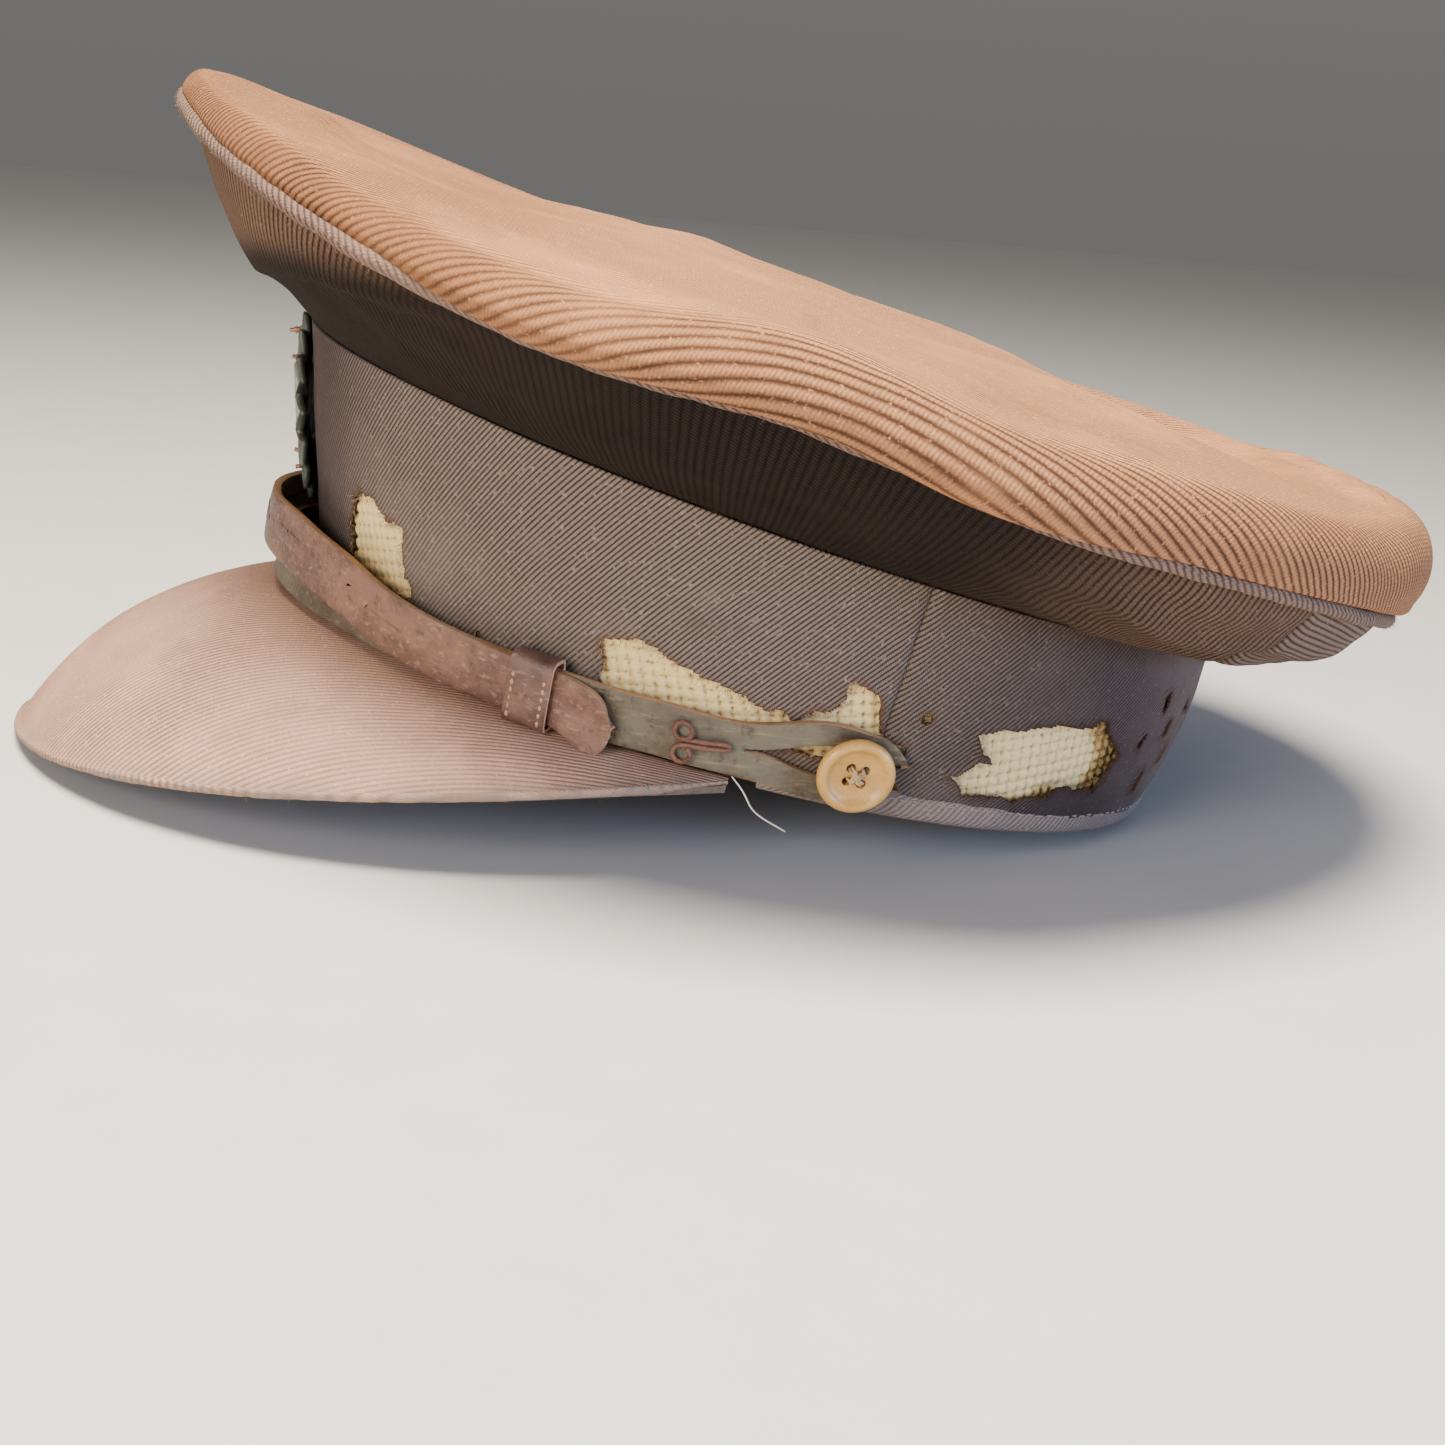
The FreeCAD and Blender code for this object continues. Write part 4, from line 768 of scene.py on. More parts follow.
def build_crown():
    """The crown top, and the cotton that hangs inside it."""
    shares = np.concatenate([np.linspace(0.0002, 0.8, 62), np.linspace(0.806, 1.0, 34)])
    points, uv, shade_share = crown_sheet(shares, 420)
    top = grid("crown_cloth_top", points, uv, wrap=True, flip=True, shelter=shade_share)
    thicken(top, 1.2)
    piece(top, "cap", ["crown_top"], "crown_cloth", CROWN_CLOTH)
    points, uv, _ = crown_sheet(np.linspace(0.0002, 0.74, 60), 220, inside=2.0)
    lined = grid("crown_top_cotton", points, uv, wrap=True, flip=True)
    thicken(lined, 0.6)
    piece(lined, "cap", ["crown_top_lining"], "lining_cloth", COTTON)


def quarter_pouch(around, rise):
    """The front of the quarters hangs over in a pouch that runs out under the welt at the side."""
    fold = 0.22 + 0.74 * smooth(around / 66.0)
    above = np.clip((rise - fold) / (1.0 - fold), 0, 1)
    pouch = np.where(rise > fold, np.cos(above * math.pi / 2) ** 0.8, bell(rise, fold, 0.085))
    return (1.6 + 2.8 * smooth((around - 8.0) / 26.0)) * pouch * smooth((66.0 - around) / 20.0)


def quarter_gathers(around, along, height, rise):
    """Behind the side the cloth sags under the welt in lengthwise folds."""
    behind = smooth((around - 98.0) / 22.0)
    sag = 4.2 * np.sin(np.clip(rise, 0, 1) ** 1.5 * math.pi) ** 0.8
    wander = 2.6 * lattice_noise(along / 26.0, 1.0, 35)
    folds = np.sin(height / 2.2 + wander) * (0.7 + 0.5 * lattice_noise(along / 40.0, rise * 2, 37))
    return behind * (sag + 0.75 * folds * np.sin(rise * math.pi))


def quarter_shelter(around, rise):
    """How much painted shade the quarters get: 1 under the overhang, less on the lit pouch at the front and
    behind the side.
    """
    fold = 0.24 + 0.74 * smooth(around / 66.0)
    pouch = smooth((rise - fold) / 0.16) * smooth((70.0 - around) / 14.0)
    behind = smooth((around - 100.0) / 26.0)
    return np.clip(1.0 - 0.72 * pouch - (0.38 + 0.25 * rise) * behind, 0, 1)


def build_quarters():
    """The four side pieces of the crown."""
    spans = (
        ("front_left", 0.1, QUARTER_SEAM - 0.1, 300, SHADED_QUARTER_CLOTH),
        ("rear_left", QUARTER_SEAM + 0.1, 179.9, 110, SHADED_REAR_CLOTH),
        ("rear_right", 180.1, 360 - QUARTER_SEAM - 0.1, 110, SHADED_REAR_CLOTH),
        ("front_right", 360 - QUARTER_SEAM + 0.1, 359.9, 300, SHADED_QUARTER_CLOTH),
    )
    for name, start, stop, count, finish in spans:
        turns = np.radians(np.linspace(start, stop, count))
        rise, turn = np.meshgrid(np.linspace(0.0, 1.0, 44), turns, indexing="ij")
        points = quarter(turn, rise)
        normal = unit(np.cross(np.gradient(points, axis=1), np.gradient(points, axis=0)))
        along, height = turn * 118.0, rise * 46.0
        around = from_front(turn)
        swell = 0.8 * rough_noise(along / 30.0, height / 22.0, 31) * np.sin(rise * math.pi)
        swell = swell + quarter_pouch(around, rise) + quarter_gathers(around, along, height, rise)
        seam_dip = bell(turn, math.radians(start), 0.012) + bell(turn, math.radians(stop), 0.012)
        points = points + normal * (swell - 0.6 * seam_dip)[..., None]
        # Painted shade on the quarters, darkest under the overhang.
        quarter_shade = quarter_shelter(around, rise)
        cloth = grid("shaded_quarter_cloth_" + name, points, np.stack([along, height], -1), shelter=quarter_shade)
        thicken(cloth, 1.1)
        piece(cloth, "cap", ["quarter_" + name], "crown_cloth", finish)


def build_welt():
    """The cord in the seam of crown and quarters, and the fuzz on it."""
    turns = np.linspace(0, 2 * math.pi, 520, endpoint=False)
    around = from_front(turns)
    proud = 1.5 * smooth((64.0 - around) / 10.0) + 1.2 * smooth((around - 104.0) / 8.0)
    path = welt(turns) + unit(oval(WELT_LENGTH, WELT_WIDTH, 0.0, turns, 0.0)) * proud[:, None]
    path[:, 2] += 0.25 * lattice_noise(turns * 26.0, turns * 0, 41)
    radius = 1.1 * WELT_RADIUS * (1.0 + 0.09 * lattice_noise(turns * 40.0, turns * 0 + 3.0, 42))
    radius = radius + 0.9 * bell(turns, 0.0, 0.018) + 0.9 * bell(turns, 2 * math.pi, 0.018)
    cord = tube("welt_cord", path, radius, 12, closed=True)
    piece(cord, "cap", ["crown_welt"], "crown_cloth", CORD_CLOTH)
    draw = np.random.RandomState(43)
    count = 1500
    spot = draw.uniform(0, 2 * math.pi, count)
    roll = draw.uniform(-1.2, 1.6, count)
    outward = unit(oval(WELT_LENGTH, WELT_WIDTH, 0.0, spot, 0.0))
    apart = np.interp(spot, turns, proud)[:, None]
    way = outward * np.cos(roll)[:, None] + UP * np.sin(roll)[:, None]
    roots = welt(spot) + outward * apart + way * WELT_RADIUS
    way = way + draw.normal(0, 0.7, (count, 3))
    hair = fibres("welt_fuzz", roots, way, draw.uniform(0.5, 1.5, count), 0.045, 44)
    piece(hair, "cap", [], "crown_cloth", BROWN_YARN)


# ------------------------------------------------------------------ the band

# Corners of the large moth holes: degrees from the front, millimetres above the band's edge.
HOLES = (
    ((29, 22), (30, 29), (35, 30), (38.5, 27), (42, 27), (41.5, 20), (43.5, 13), (29, 12.5)),
    (
        (71, 20), (75, 22), (79, 21), (83, 18.5), (90, 16), (94, 15.5), (98, 19),
        (99.5, 25.5), (102.5, 23.5), (104.5, 15), (103, 9.5), (90, 9), (76, 9), (71, 10),
    ),
    (
        (115.5, 20), (124, 24), (134, 26.5), (139, 18), (137.5, 9.5), (132, 10.5), (125.5, 6.5),
        (117, 6.5), (113.5, 10), (118, 14.5),
    ),
)
# Small holes: angle, height and radius.
MOTH_BITES = (
    (106.5, 12.5, 2.4), (108.5, 21, 1.0), (143.5, 22, 1.2), (147, 31, 1.5), (150.5, 25, 1.9),
    (149, 11.5, 1.7), (154, 18, 1.5), (157, 29, 1.4), (55, 11.5, 1.1),
)


def hole_depth(angle, z):
    """How far a place is inside a moth hole, in millimetres; negative on the cloth."""
    x = angle * DEGREE
    best = np.full(np.shape(x), -1e9)
    for corners in HOLES:
        edge = np.array(corners) * [DEGREE, 1.0]
        inside = np.zeros(np.shape(x), bool)
        near = np.full(np.shape(x), 1e9)
        for (ax, az), (bx, bz) in zip(edge, np.roll(edge, -1, 0)):
            dx, dz = bx - ax, bz - az
            t = np.clip(((x - ax) * dx + (z - az) * dz) / (dx * dx + dz * dz), 0, 1)
            near = np.minimum(near, np.hypot(x - ax - t * dx, z - az - t * dz))
            crosses = (az > z) != (bz > z)
            inside ^= crosses & (x < ax + (z - az) * dx / (dz if abs(dz) > 1e-9 else 1e-9))
        best = np.maximum(best, np.where(inside, near, -near))
    for middle, level, reach in MOTH_BITES:
        best = np.maximum(best, reach - np.hypot(x - middle * DEGREE, (z - level) * 0.8))
    return best + 0.9 * rough_noise(x / 3.1, z / 3.1, 51, 4)


def build_band():
    """The band's cloth in two lengths, with its side seams and moth holes."""
    gap = 0.0004
    heights = np.linspace(0.01, 0.995, 104)
    for name, shares in (
        ("front", np.concatenate([np.linspace(-1, 0.24, 150)[:-1], np.linspace(0.24, 1.0, 300)])),
        ("rear", np.concatenate([np.linspace(0, 0.3, 180)[:-1], np.linspace(0.3, 1, 90)])),
    ):
        level, share = np.meshgrid(heights, shares, indexing="ij")
        length, _, forward = band_oval(level)
        side_seam = np.arccos(-(SIDE_SEAM + forward) / length)
        if name == "front":
            turn = (side_seam - gap) * share
        else:
            turn = (side_seam + gap) + (2 * math.pi - 2 * side_seam - 2 * gap) * share
        z = np.maximum(level * seam_z(turn), SEAM_SLIT)
        angle = np.degrees(turn)
        depth = hole_depth(angle, z)
        arc = angle * DEGREE
        around = from_front(turn)
        free = 1.0 - smooth((30.0 - z) / 8.0) * smooth((112.0 - around) / 8.0)
        out = 0.12 + 0.38 * free + (0.06 + 0.3 * free) * rough_noise(arc / 28.0, z / 20.0, 52)
        curl = 0.6 + 0.8 * lattice_noise(arc / 4.0, z / 4.0, 53)
        out = out + (0.25 + 0.4 * free) * bell(depth, 0.0, 0.9) * curl
        seam = (side_seam - np.abs(np.where(angle > 180, 2 * math.pi - turn, turn))) * 98.0
        out = out - 0.55 * bell(seam, 0.0, 0.7) + 0.3 * bell(np.abs(seam), 2.6, 1.0)
        behind = smooth((np.cos(turn) + 0.25) / -0.5)
        out = out + 2.2 * behind * np.sin(np.clip(level, 0, 1) * math.pi)
        points = band(turn, z, out)
        faces_depth = (depth[1:, 1:] + depth[:-1, :-1] + depth[1:, :-1] + depth[:-1, 1:]) / 4
        frayed = bell(np.minimum(depth, 0), 0.0, 0.8)
        # Painted shade: darker towards the front and round the rear, bluish there for the cool light.
        shade_share = bell(around, 132.0, 24.0) + 0.9 * smooth((44.0 - around) / 26.0)
        uv = np.stack([arc, z], -1)
        cloth = grid("band_cloth_" + name, points, uv, keep=faces_depth < 0.0, paint=frayed, shelter=shade_share)
        thicken(cloth, 0.9)
        piece(cloth, "cap", ["band_cover_" + name], "band_cloth", BAND_CLOTH)


def build_frays():
    """Yarn ends round the holes."""
    level, angle = np.meshgrid(np.arange(5.0, 31.0, 0.3), np.arange(26.0, 142.0, 0.31), indexing="ij")
    depth = hole_depth(angle, level)
    rim = np.abs(depth) < 0.16
    angle, level = angle[rim], level[rim]
    draw = np.random.RandomState(61)
    pick = draw.permutation(len(angle))[:1500]
    angle, level = angle[pick], level[pick]
    slope_x = (hole_depth(angle + 0.25, level) - hole_depth(angle - 0.25, level)) / (0.5 * DEGREE)
    slope_z = (hole_depth(angle, level + 0.4) - hole_depth(angle, level - 0.4)) / 0.8
    turn = np.radians(angle)
    normal = band_normal(turn, level)
    along = unit(band_along(turn, level))
    up = np.cross(normal, along)
    way = along * slope_x[:, None] + up * slope_z[:, None] + normal * draw.uniform(-0.2, 0.6, (len(angle), 1))
    way = unit(way) + draw.normal(0, 0.35, way.shape)
    roots = band(turn, level, draw.uniform(-0.3, 0.5, len(angle)))
    tan = draw.uniform(0, 1, len(angle)) < 0.35
    for name, mask, finish in (("fray_tan", tan, YARN), ("fray_brown", ~tan, BROWN_YARN)):
        hair = fibres(name, roots[mask], way[mask], draw.uniform(0.8, 2.6, mask.sum()), 0.075, 62)
        piece(hair, "cap", [], "band_cloth", finish)


def build_stiffener():
    """The woven ring, with real strands where the cloth has gone."""
    angles = np.concatenate([np.arange(24.0, 160.0, 0.3), np.arange(160.0, 384.0, 1.6)])
    heights = np.concatenate([np.linspace(0.3, 32.0, 66), np.linspace(33.5, 58.0, 12)])
    z, angle = np.meshgrid(heights, angles, indexing="ij")
    turn = np.radians(angle)
    z = np.minimum(z, seam_z(turn) - 0.4)
    pitch = 2.5
    lean = math.radians(14.0)
    x = angle * DEGREE + 0.5 * lattice_noise(angle / 9.0, z / 12.0, 71)
    y = z + 0.5 * lattice_noise(angle / 8.0, z / 10.0, 72)
    a = (x * math.cos(lean) + y * math.sin(lean)) / pitch
    b = (y * math.cos(lean) - x * math.sin(lean)) / pitch
    across, along = a - np.floor(a) - 0.5, b - np.floor(b) - 0.5
    over = (np.floor(a) + np.floor(b)) % 2 < 1
    weft = (1 - np.abs(2 * along) ** 5) * (0.55 + 0.45 * np.cos(math.pi * across))
    warp = (1 - np.abs(2 * across) ** 5) * (0.55 + 0.45 * np.cos(math.pi * along))
    height = np.where(over, weft, warp)
    points = band(turn, z, -2.2 + 1.35 * height)
    u = np.where(over, a * pitch, b * pitch)
    v = np.where(over, b * pitch * 4, a * pitch * 4)
    # The weave's height goes in as "paint", which the straw's finish turns into painted shade in the gaps.
    weave = grid("straw_weave", points, np.stack([u, v], -1), paint=height)
    thicken(weave, 0.7)
    piece(weave, "cap", ["band_stiffener"], "woven_fibre", STRAW)


# Height and stand-off of the hem, from its outer edge round under the band.
HEM_PROFILE = (
    (4.5, 0.55), (4.3, 1.05), (3.2, 1.25), (1.8, 1.4), (0.4, 1.35), (-0.6, 0.9), (-1.1, 0.0),
    (-1.2, -1.0), (-1.0, -2.2), (-0.5, -3.0), (0.0, -3.3),
)


def build_binding():
    """The rolled hem along the band's lower edge, from one visor corner round the back, and its stitches."""
    start = math.radians(91.0)
    turns = np.linspace(start, 2 * math.pi - start, 420)
    eased = 0.5 + 0.5 * smooth((from_front(turns) - 103.0) / 9.0)
    rows = []
    for height, out in HEM_PROFILE:
        wave = 0.22 * lattice_noise(turns * 30.0, turns * 0 + height, 81)
        lift = 0.35 * lattice_noise(turns * 14.0, turns * 0 + 9.0, 82) * (height > 3.0)
        rows.append(band(turns, height + lift, out * eased + wave * (out > 0)))
    points = np.array(rows)
    along = np.degrees(turns) * DEGREE
    uv = np.stack(np.broadcast_arrays(along, np.arange(len(rows))[:, None] * 1.1), -1)
    hem = grid("edge_hem", points, uv, flip=True)
    thicken(hem, 0.6)
    smoothing = hem.modifiers.new("round", "SUBSURF")
    smoothing.levels = smoothing.render_levels = 1
    piece(hem, "cap", ["band_edge_binding"], "band_cloth", EDGE_CLOTH)
    stitches = []
    draw = np.random.RandomState(83)
    for angle in np.arange(93.0, 267.0, 1.75):
        ends = np.radians(np.array([angle - 0.55, angle, angle + 0.55]))
        height = 3.55 + 0.12 * draw.normal()
        path = band(ends, np.full(3, height), np.array([1.05, 1.42, 1.05]))
        stitches.append(tube("stitch", path, 0.2, 6))
    thread = join("hem_stitches", stitches)
    piece(thread, "cap", [], "thread", HEM_YARN)


# ------------------------------------------------------------------ the visor


def build_visor():
    """Cloth over the board: the top, a rolled edge, and a narrow turned-under rim."""
    across = np.sin(np.linspace(-1, 1, 301) * math.pi / 2 * 0.995) * 0.985
    ways = np.linspace(0.0, 1.0, 64)
    way, share = np.meshgrid(ways, across, indexing="ij")
    top, normal, down = visor(share, way)
    wave = 0.35 * rough_noise(top[..., 0] / 34.0, top[..., 1] / 34.0, 91)
    top = top + normal * (wave * np.sin(way * math.pi) ** 0.5)[..., None]
    edge, edge_normal, edge_down = top[-1], normal[-1], down[-1]
    rows = list(top)
    radius, lift = 1.3, 0.78
    slim = np.clip((1 - np.abs(across)) / 0.10, 0.22, 1)[:, None]
    middle = edge + edge_normal * (lift - radius) * slim
    worn = 0.12 * lattice_noise(across * 120.0, across * 0, 92)[:, None]
    for turn in np.radians([62, 35, 8, -20, -48, -76, -90]):  # round the edge's bead
        way = edge_normal * math.sin(turn) + edge_down * math.cos(turn)
        rows.append(middle + way * (radius + worn) * slim)
    under, under_normal, _ = visor(share[:9], np.linspace(0.99, 0.925, 9)[:, None] + share[:9] * 0)
    rows += list(under - under_normal * (2 * radius - lift) * slim)
    points = np.array(rows)
    step = np.linalg.norm(np.diff(points, axis=0), axis=-1)
    length = np.concatenate([step[:1] * 0, np.cumsum(step, 0)])
    slant = np.where(np.arange(len(rows))[:, None] < len(ways), points[..., 0], top[-1][:, 0])
    spread = slant + np.sign(across) * np.abs(across) ** 3 * length * 0.35
    rubbed = smooth((length - length[len(ways)] + 6.0) / 9.0) * 0.9
    cover = grid("visor_cloth", points, np.stack([spread, length], -1), flip=True, paint=rubbed)
    thicken(cover, 0.7)
    piece(cover, "cap", ["visor_cover"], "visor_cloth", VISOR_CLOTH)
    draw = np.random.RandomState(93)
    count = 900
    pick = draw.uniform(-0.93, 0.93, count)
    spot, up, out = visor(pick, np.full(count, 1.0))
    turn = draw.uniform(-1.3, 1.1, count)[:, None]
    way = up * np.sin(turn) + out * np.cos(turn)
    roots = spot + up * (lift - radius) + way * radius * 0.95
    way = way + draw.normal(0, 0.8, (count, 3))
    length = draw.uniform(0.4, 1.4, count)
    off_floor = place(roots)[:, 2] > 3.2 * MM
    hair = fibres("visor_fuzz", roots[off_floor], way[off_floor], length[off_floor], 0.05, 94)
    piece(hair, "cap", [], "visor_cloth", BROWN_YARN)


# ------------------------------------------------------------------ the chin strap


def build_strap(outer):
    """A strap with rounded edges, its tab curled, slit into two legs round its button."""
    tip = STRAP_TAB - 3.6
    rounded = -STRAP_TAB + 3.5 * np.linspace(0.02, 1, 26) ** 2
    own = np.concatenate([rounded, np.linspace(-tip, 78.0, 290), np.linspace(78.5, STRAP_END, 80)])
    lanes = np.array([-1.0, -0.8, -0.55, -0.3, -0.1, -0.001, 0.001, 0.1, 0.3, 0.55, 0.8, 1.0])
    centre = len(lanes) // 2 - 1
    lane, place_own = np.meshgrid(lanes, own, indexing="ij")
    half = strap_width(place_own) * 0.46
    slit_start = 88.5
    opening = 0.25 + 2.5 * smooth((place_own - slit_start) / 11.0) ** 1.3
    opening = np.where(place_own > slit_start, opening, 0.0)
    leg = (half - opening) * np.abs(lane) + opening
    across = np.sign(lane) * leg
    spread = bell(place_own, 97.0, 6.0) * np.sign(lane)
    across = across + np.where(place_own > slit_start, spread, 0.0)
    seed = 101 if outer else 111
    arc = place_own * DEGREE
    off = 0.18 * rough_noise(arc / 17.0, lane * 1.3, seed)
    off = off + 0.25 * np.abs(lane) ** 3 * lattice_noise(arc / 23.0, lane * 0.2, seed + 5)
    tab = smooth((-STRAP_TAB + 9.0 - place_own) / 9.0)
    off = off + tab * (1.4 + 1.2 * (2 * across / STRAP_WIDTH) ** 2)
    across = across + 0.16 * lattice_noise(arc / 11.0, np.sign(lane) * 3.0, seed + 6)
    droop = smooth((-STRAP_TAB + 7.0 - place_own) / 7.0)
    across = across * (1.0 + 0.22 * droop) - 3.2 * droop
    if outer:
        across = across + 1.1 * bell(place_own, -30.0, 24.0) * np.sin(lane * 0.8)
    points = strap_point(place_own, across, outer, off)
    uncut = np.ones((len(lanes) - 1, len(own) - 1), bool)
    uncut[centre] = own[:-1] < slit_start
    name = "strap_outer" if outer else "strap_inner"
    strap = grid(name, points, np.stack([arc, across], -1), keep=uncut, flip=outer)
    thicken(strap, STRAP_THICK, rim=1, bevel=0.4)
    main, slot_name = (STRAP, "strap_leather") if outer else (INNER_STRAP, "inner_leather")
    piece(strap, "chin_strap", ["chin_" + name], slot_name, main, CUT_EDGE)


def loop_frame(angle, height, off):
    """Middle, along, up and outward directions of something on the straps."""
    turn = np.radians(np.float64(angle))
    outward = band_normal(turn, np.float64(height))
    along = unit(band_along(turn, np.float64(height)))
    return band(turn, np.float64(height), off), along, np.cross(outward, along), outward


def build_keeper(name, side):
    """A leather loop round both straps, sewn down both sides."""
    angle = KEEPER_AT * side
    off = float(strap_off(np.float64(angle))) + STRAP_THICK + STRAP_LAP / 2 + 0.5
    middle, along, up, outward = loop_frame(angle, STRAP_LOW + KEEPER_LIFT, off)
    half_up, half_out, half_long, wall = 6.85, 2.2, 4.75, 0.95
    turns = np.linspace(0, 2 * math.pi, 72, endpoint=False)
    power = 0.32
    rise = np.sign(np.cos(turns)) * np.abs(np.cos(turns)) ** power * half_up
    out = np.sign(np.sin(turns)) * np.abs(np.sin(turns)) ** power * half_out
    lengths = np.linspace(-half_long, half_long, 11)
    length, rise = np.broadcast_arrays(lengths[:, None], rise[None])
    pinch = 1 - 0.05 * np.cos(length / half_long * math.pi / 2)
    noise = 0.14 * lattice_noise(length / 3.0 + 9, turns[None] * 3.0 + side, 121)
    points = (
        middle
        + along * length[..., None]
        + up * (rise * pinch)[..., None]
        + outward * (out[None] * (1 + 0.12 * np.cos(length / half_long * 1.4)) + noise)[..., None]
    )
    uv = np.stack(np.broadcast_arrays(np.arange(len(turns) + 1.0) * 0.6, lengths[:, None]), -1)
    loop = grid(name + "_loop", points, uv, wrap=True)
    thicken(loop, wall, offset=1.0, rim=1, bevel=0.3)
    piece(loop, "chin_strap", [name], "strap_leather", KEEPER, CUT_EDGE)
    face = half_out * 1.04 + 0.97
    stitches = []
    for edge in (-3.4, 3.4):
        for spot in np.arange(-5.2, 5.3, 1.75):
            ends = [
                middle + along * edge + up * (spot + shift) + outward * (face + lift)
                for shift, lift in ((-0.72, -0.3), (0.0, 0.16), (0.72, -0.3))
            ]
            stitches.append(tube("stitch", np.array(ends), 0.34, 6))
    thread = join(name + "_stitches", stitches)
    piece(thread, "chin_strap", [], "thread", YARN)


def build_hook():
    """Rusty wire: two sewing loops and a double prong, bent from one length."""
    middle, along, up, outward = loop_frame(HOOK_AT, STRAP_LOW, 0.0)
    off = float(strap_off(np.float64(HOOK_AT))) + STRAP_THICK + 0.65
    base = middle + outward * (off + 0.25)
    tilt = math.radians(9.0)
    along, up = along * math.cos(tilt) + up * math.sin(tilt), up * math.cos(tilt) - along * math.sin(tilt)
    upper = []
    for t in np.linspace(-0.2, 1.8 * math.pi, 34):
        spin = -math.pi / 2 - t
        upper.append((-0.2 + 1.8 * math.cos(spin), 2.45 + 1.8 * math.sin(spin), 0.9 * (t / 5.6) ** 3))
    upper = upper[::-1]
    for t in np.linspace(0.1, 1, 12):
        upper.append((8.6 * t, 0.62, 0.3 * math.sin(t * math.pi)))
    bend = [(8.7 + 0.5 * math.cos(t), 0.62 * math.sin(t), 0.0) for t in np.linspace(1.2, -1.2, 7)]
    shape = upper + bend + [(x, -y, z) for x, y, z in upper[::-1]]
    path = np.array([base + along * x + up * y + outward * z for x, y, z in shape])
    for _ in range(2):
        path[1:-1] = (path[:-2] + 2 * path[1:-1] + path[2:]) / 4
    rust = lattice_noise(np.arange(len(path)) / 2.0, 0.0, 131)
    hook = tube("wire_hook", path, 0.52 * (1 + 0.08 * rust), 10)
    piece(hook, "chin_strap", ["strap_hook"], "rusty_wire", RUST)


# ------------------------------------------------------------------ buttons and badge


def local_points(shape_points, origin, across, up, outward):
    """Points given across, up and outward from an origin."""
    points = np.asarray(shape_points, float)
    return origin + points[..., :1] * across + points[..., 1:2] * up + points[..., 2:3] * outward


# Radius and height, from the middle of the button's back round its rim to the middle of its dish.
BUTTON_PROFILE = (
    (0.0, 0.0), (5.5, 0.0), (7.0, 0.15), (7.75, 0.7), (8.0, 1.5), (7.9, 2.2), (7.5, 2.75), (6.9, 3.0),
    (6.4, 2.95), (5.9, 2.55), (5.5, 2.0), (4.6, 1.75), (2.5, 1.65), (0.0, 1.65),
)
BUTTON_PITCH = 2.1
THREAD_TURNS = (0.25, 0.75, 1.25, 1.75)


def button_disc():
    """Vertices and faces of the undrilled button, before it is set on the band."""
    turns = np.linspace(0, 2 * math.pi, 72, endpoint=False)
    vertices, faces = [[0, 0, BUTTON_PROFILE[0][1]]], []
    for radius, z in BUTTON_PROFILE[1:-1]:
        vertices += [[radius * math.cos(t), radius * math.sin(t), z] for t in turns]
    vertices.append([0, 0, BUTTON_PROFILE[-1][1]])
    count, rings = len(turns), len(BUTTON_PROFILE) - 2
    for j in range(count):
        k = (j + 1) % count
        faces.append([0, 1 + k, 1 + j])
        for ring in range(rings - 1):
            a, b = 1 + ring * count, 1 + (ring + 1) * count
            faces.append([a + j, a + k, b + k, b + j])
        top = 1 + (rings - 1) * count
        faces.append([top + j, top + k, len(vertices) - 1])
    return np.array(vertices, float) + [0, 0, BUTTON_STAND], faces


def build_button(name, side):
    """A moulded four-hole button with a raised rim, and its thread."""
    origin, across, up, outward = button_frame(side)
    shape, faces = button_disc()
    disc = mesh_object(name + "_disc", place(local_points(shape, origin, across, up, outward)), faces)
    drills = []
    for turn in THREAD_TURNS:
        x, y = BUTTON_PITCH * math.cos(turn * math.pi), BUTTON_PITCH * math.sin(turn * math.pi)
        ends = local_points([[x, y, BUTTON_STAND - 1], [x, y, BUTTON_STAND + 4]], origin, across, up, outward)
        drills.append(tube("drill", ends, 1.0, 20))
    drill = join("drill", drills)
    cut = disc.modifiers.new("holes", "BOOLEAN")
    cut.operation = "DIFFERENCE"
    cut.solver = "EXACT"
    cut.object = drill
    bpy.context.view_layer.objects.active = disc
    bpy.ops.object.modifier_apply(modifier=cut.name)
    bpy.data.objects.remove(drill)
    round_edges(disc, 0.16, 48)
    piece(disc, name, [name], "button_plastic", PLASTIC)

    strands = []
    floor = BUTTON_STAND + BUTTON_PROFILE[-1][1]
    for turn, lift in ((0.25, 0.0), (0.75, 0.45)):
        for ply in (-0.3, 0.3):
            t = np.linspace(-1, 1, 41)
            reach = 1.85 * np.sign(t) * np.abs(t) ** 0.8
            arch = floor + 0.55 + lift + 0.35 * (1 - t**2) - 2.0 * smooth((np.abs(t) - 0.82) / 0.18)
            twist = t * 9.0
            x = reach * math.cos(turn * math.pi) + (ply + 0.12 * np.cos(twist)) * math.sin(turn * math.pi)
            y = reach * math.sin(turn * math.pi) - (ply + 0.12 * np.cos(twist)) * math.cos(turn * math.pi)
            path = np.stack([x, y, arch + 0.12 * np.sin(twist)], -1)
            path = local_points(path, origin, across, up, outward)
            strands.append(tube("strand", path, 0.3 * (1 + 0.12 * np.sin(t * 60.0)), 8))
    t = np.linspace(0, 1, 60)
    for phase in (0.0, 2.1, 4.2):
        x, y = 0.7 * np.cos(t * 16 + phase), 0.7 * np.sin(t * 16 + phase)
        path = local_points(np.stack([x, y, 0.5 + t * (BUTTON_STAND - 0.9)], -1), origin, across, up, outward)
        strands.append(tube("strand", path, 0.42, 8))
    thread = join(name + "_yarn", strands)
    piece(thread, name, [name + "_thread"], "thread", YARN)


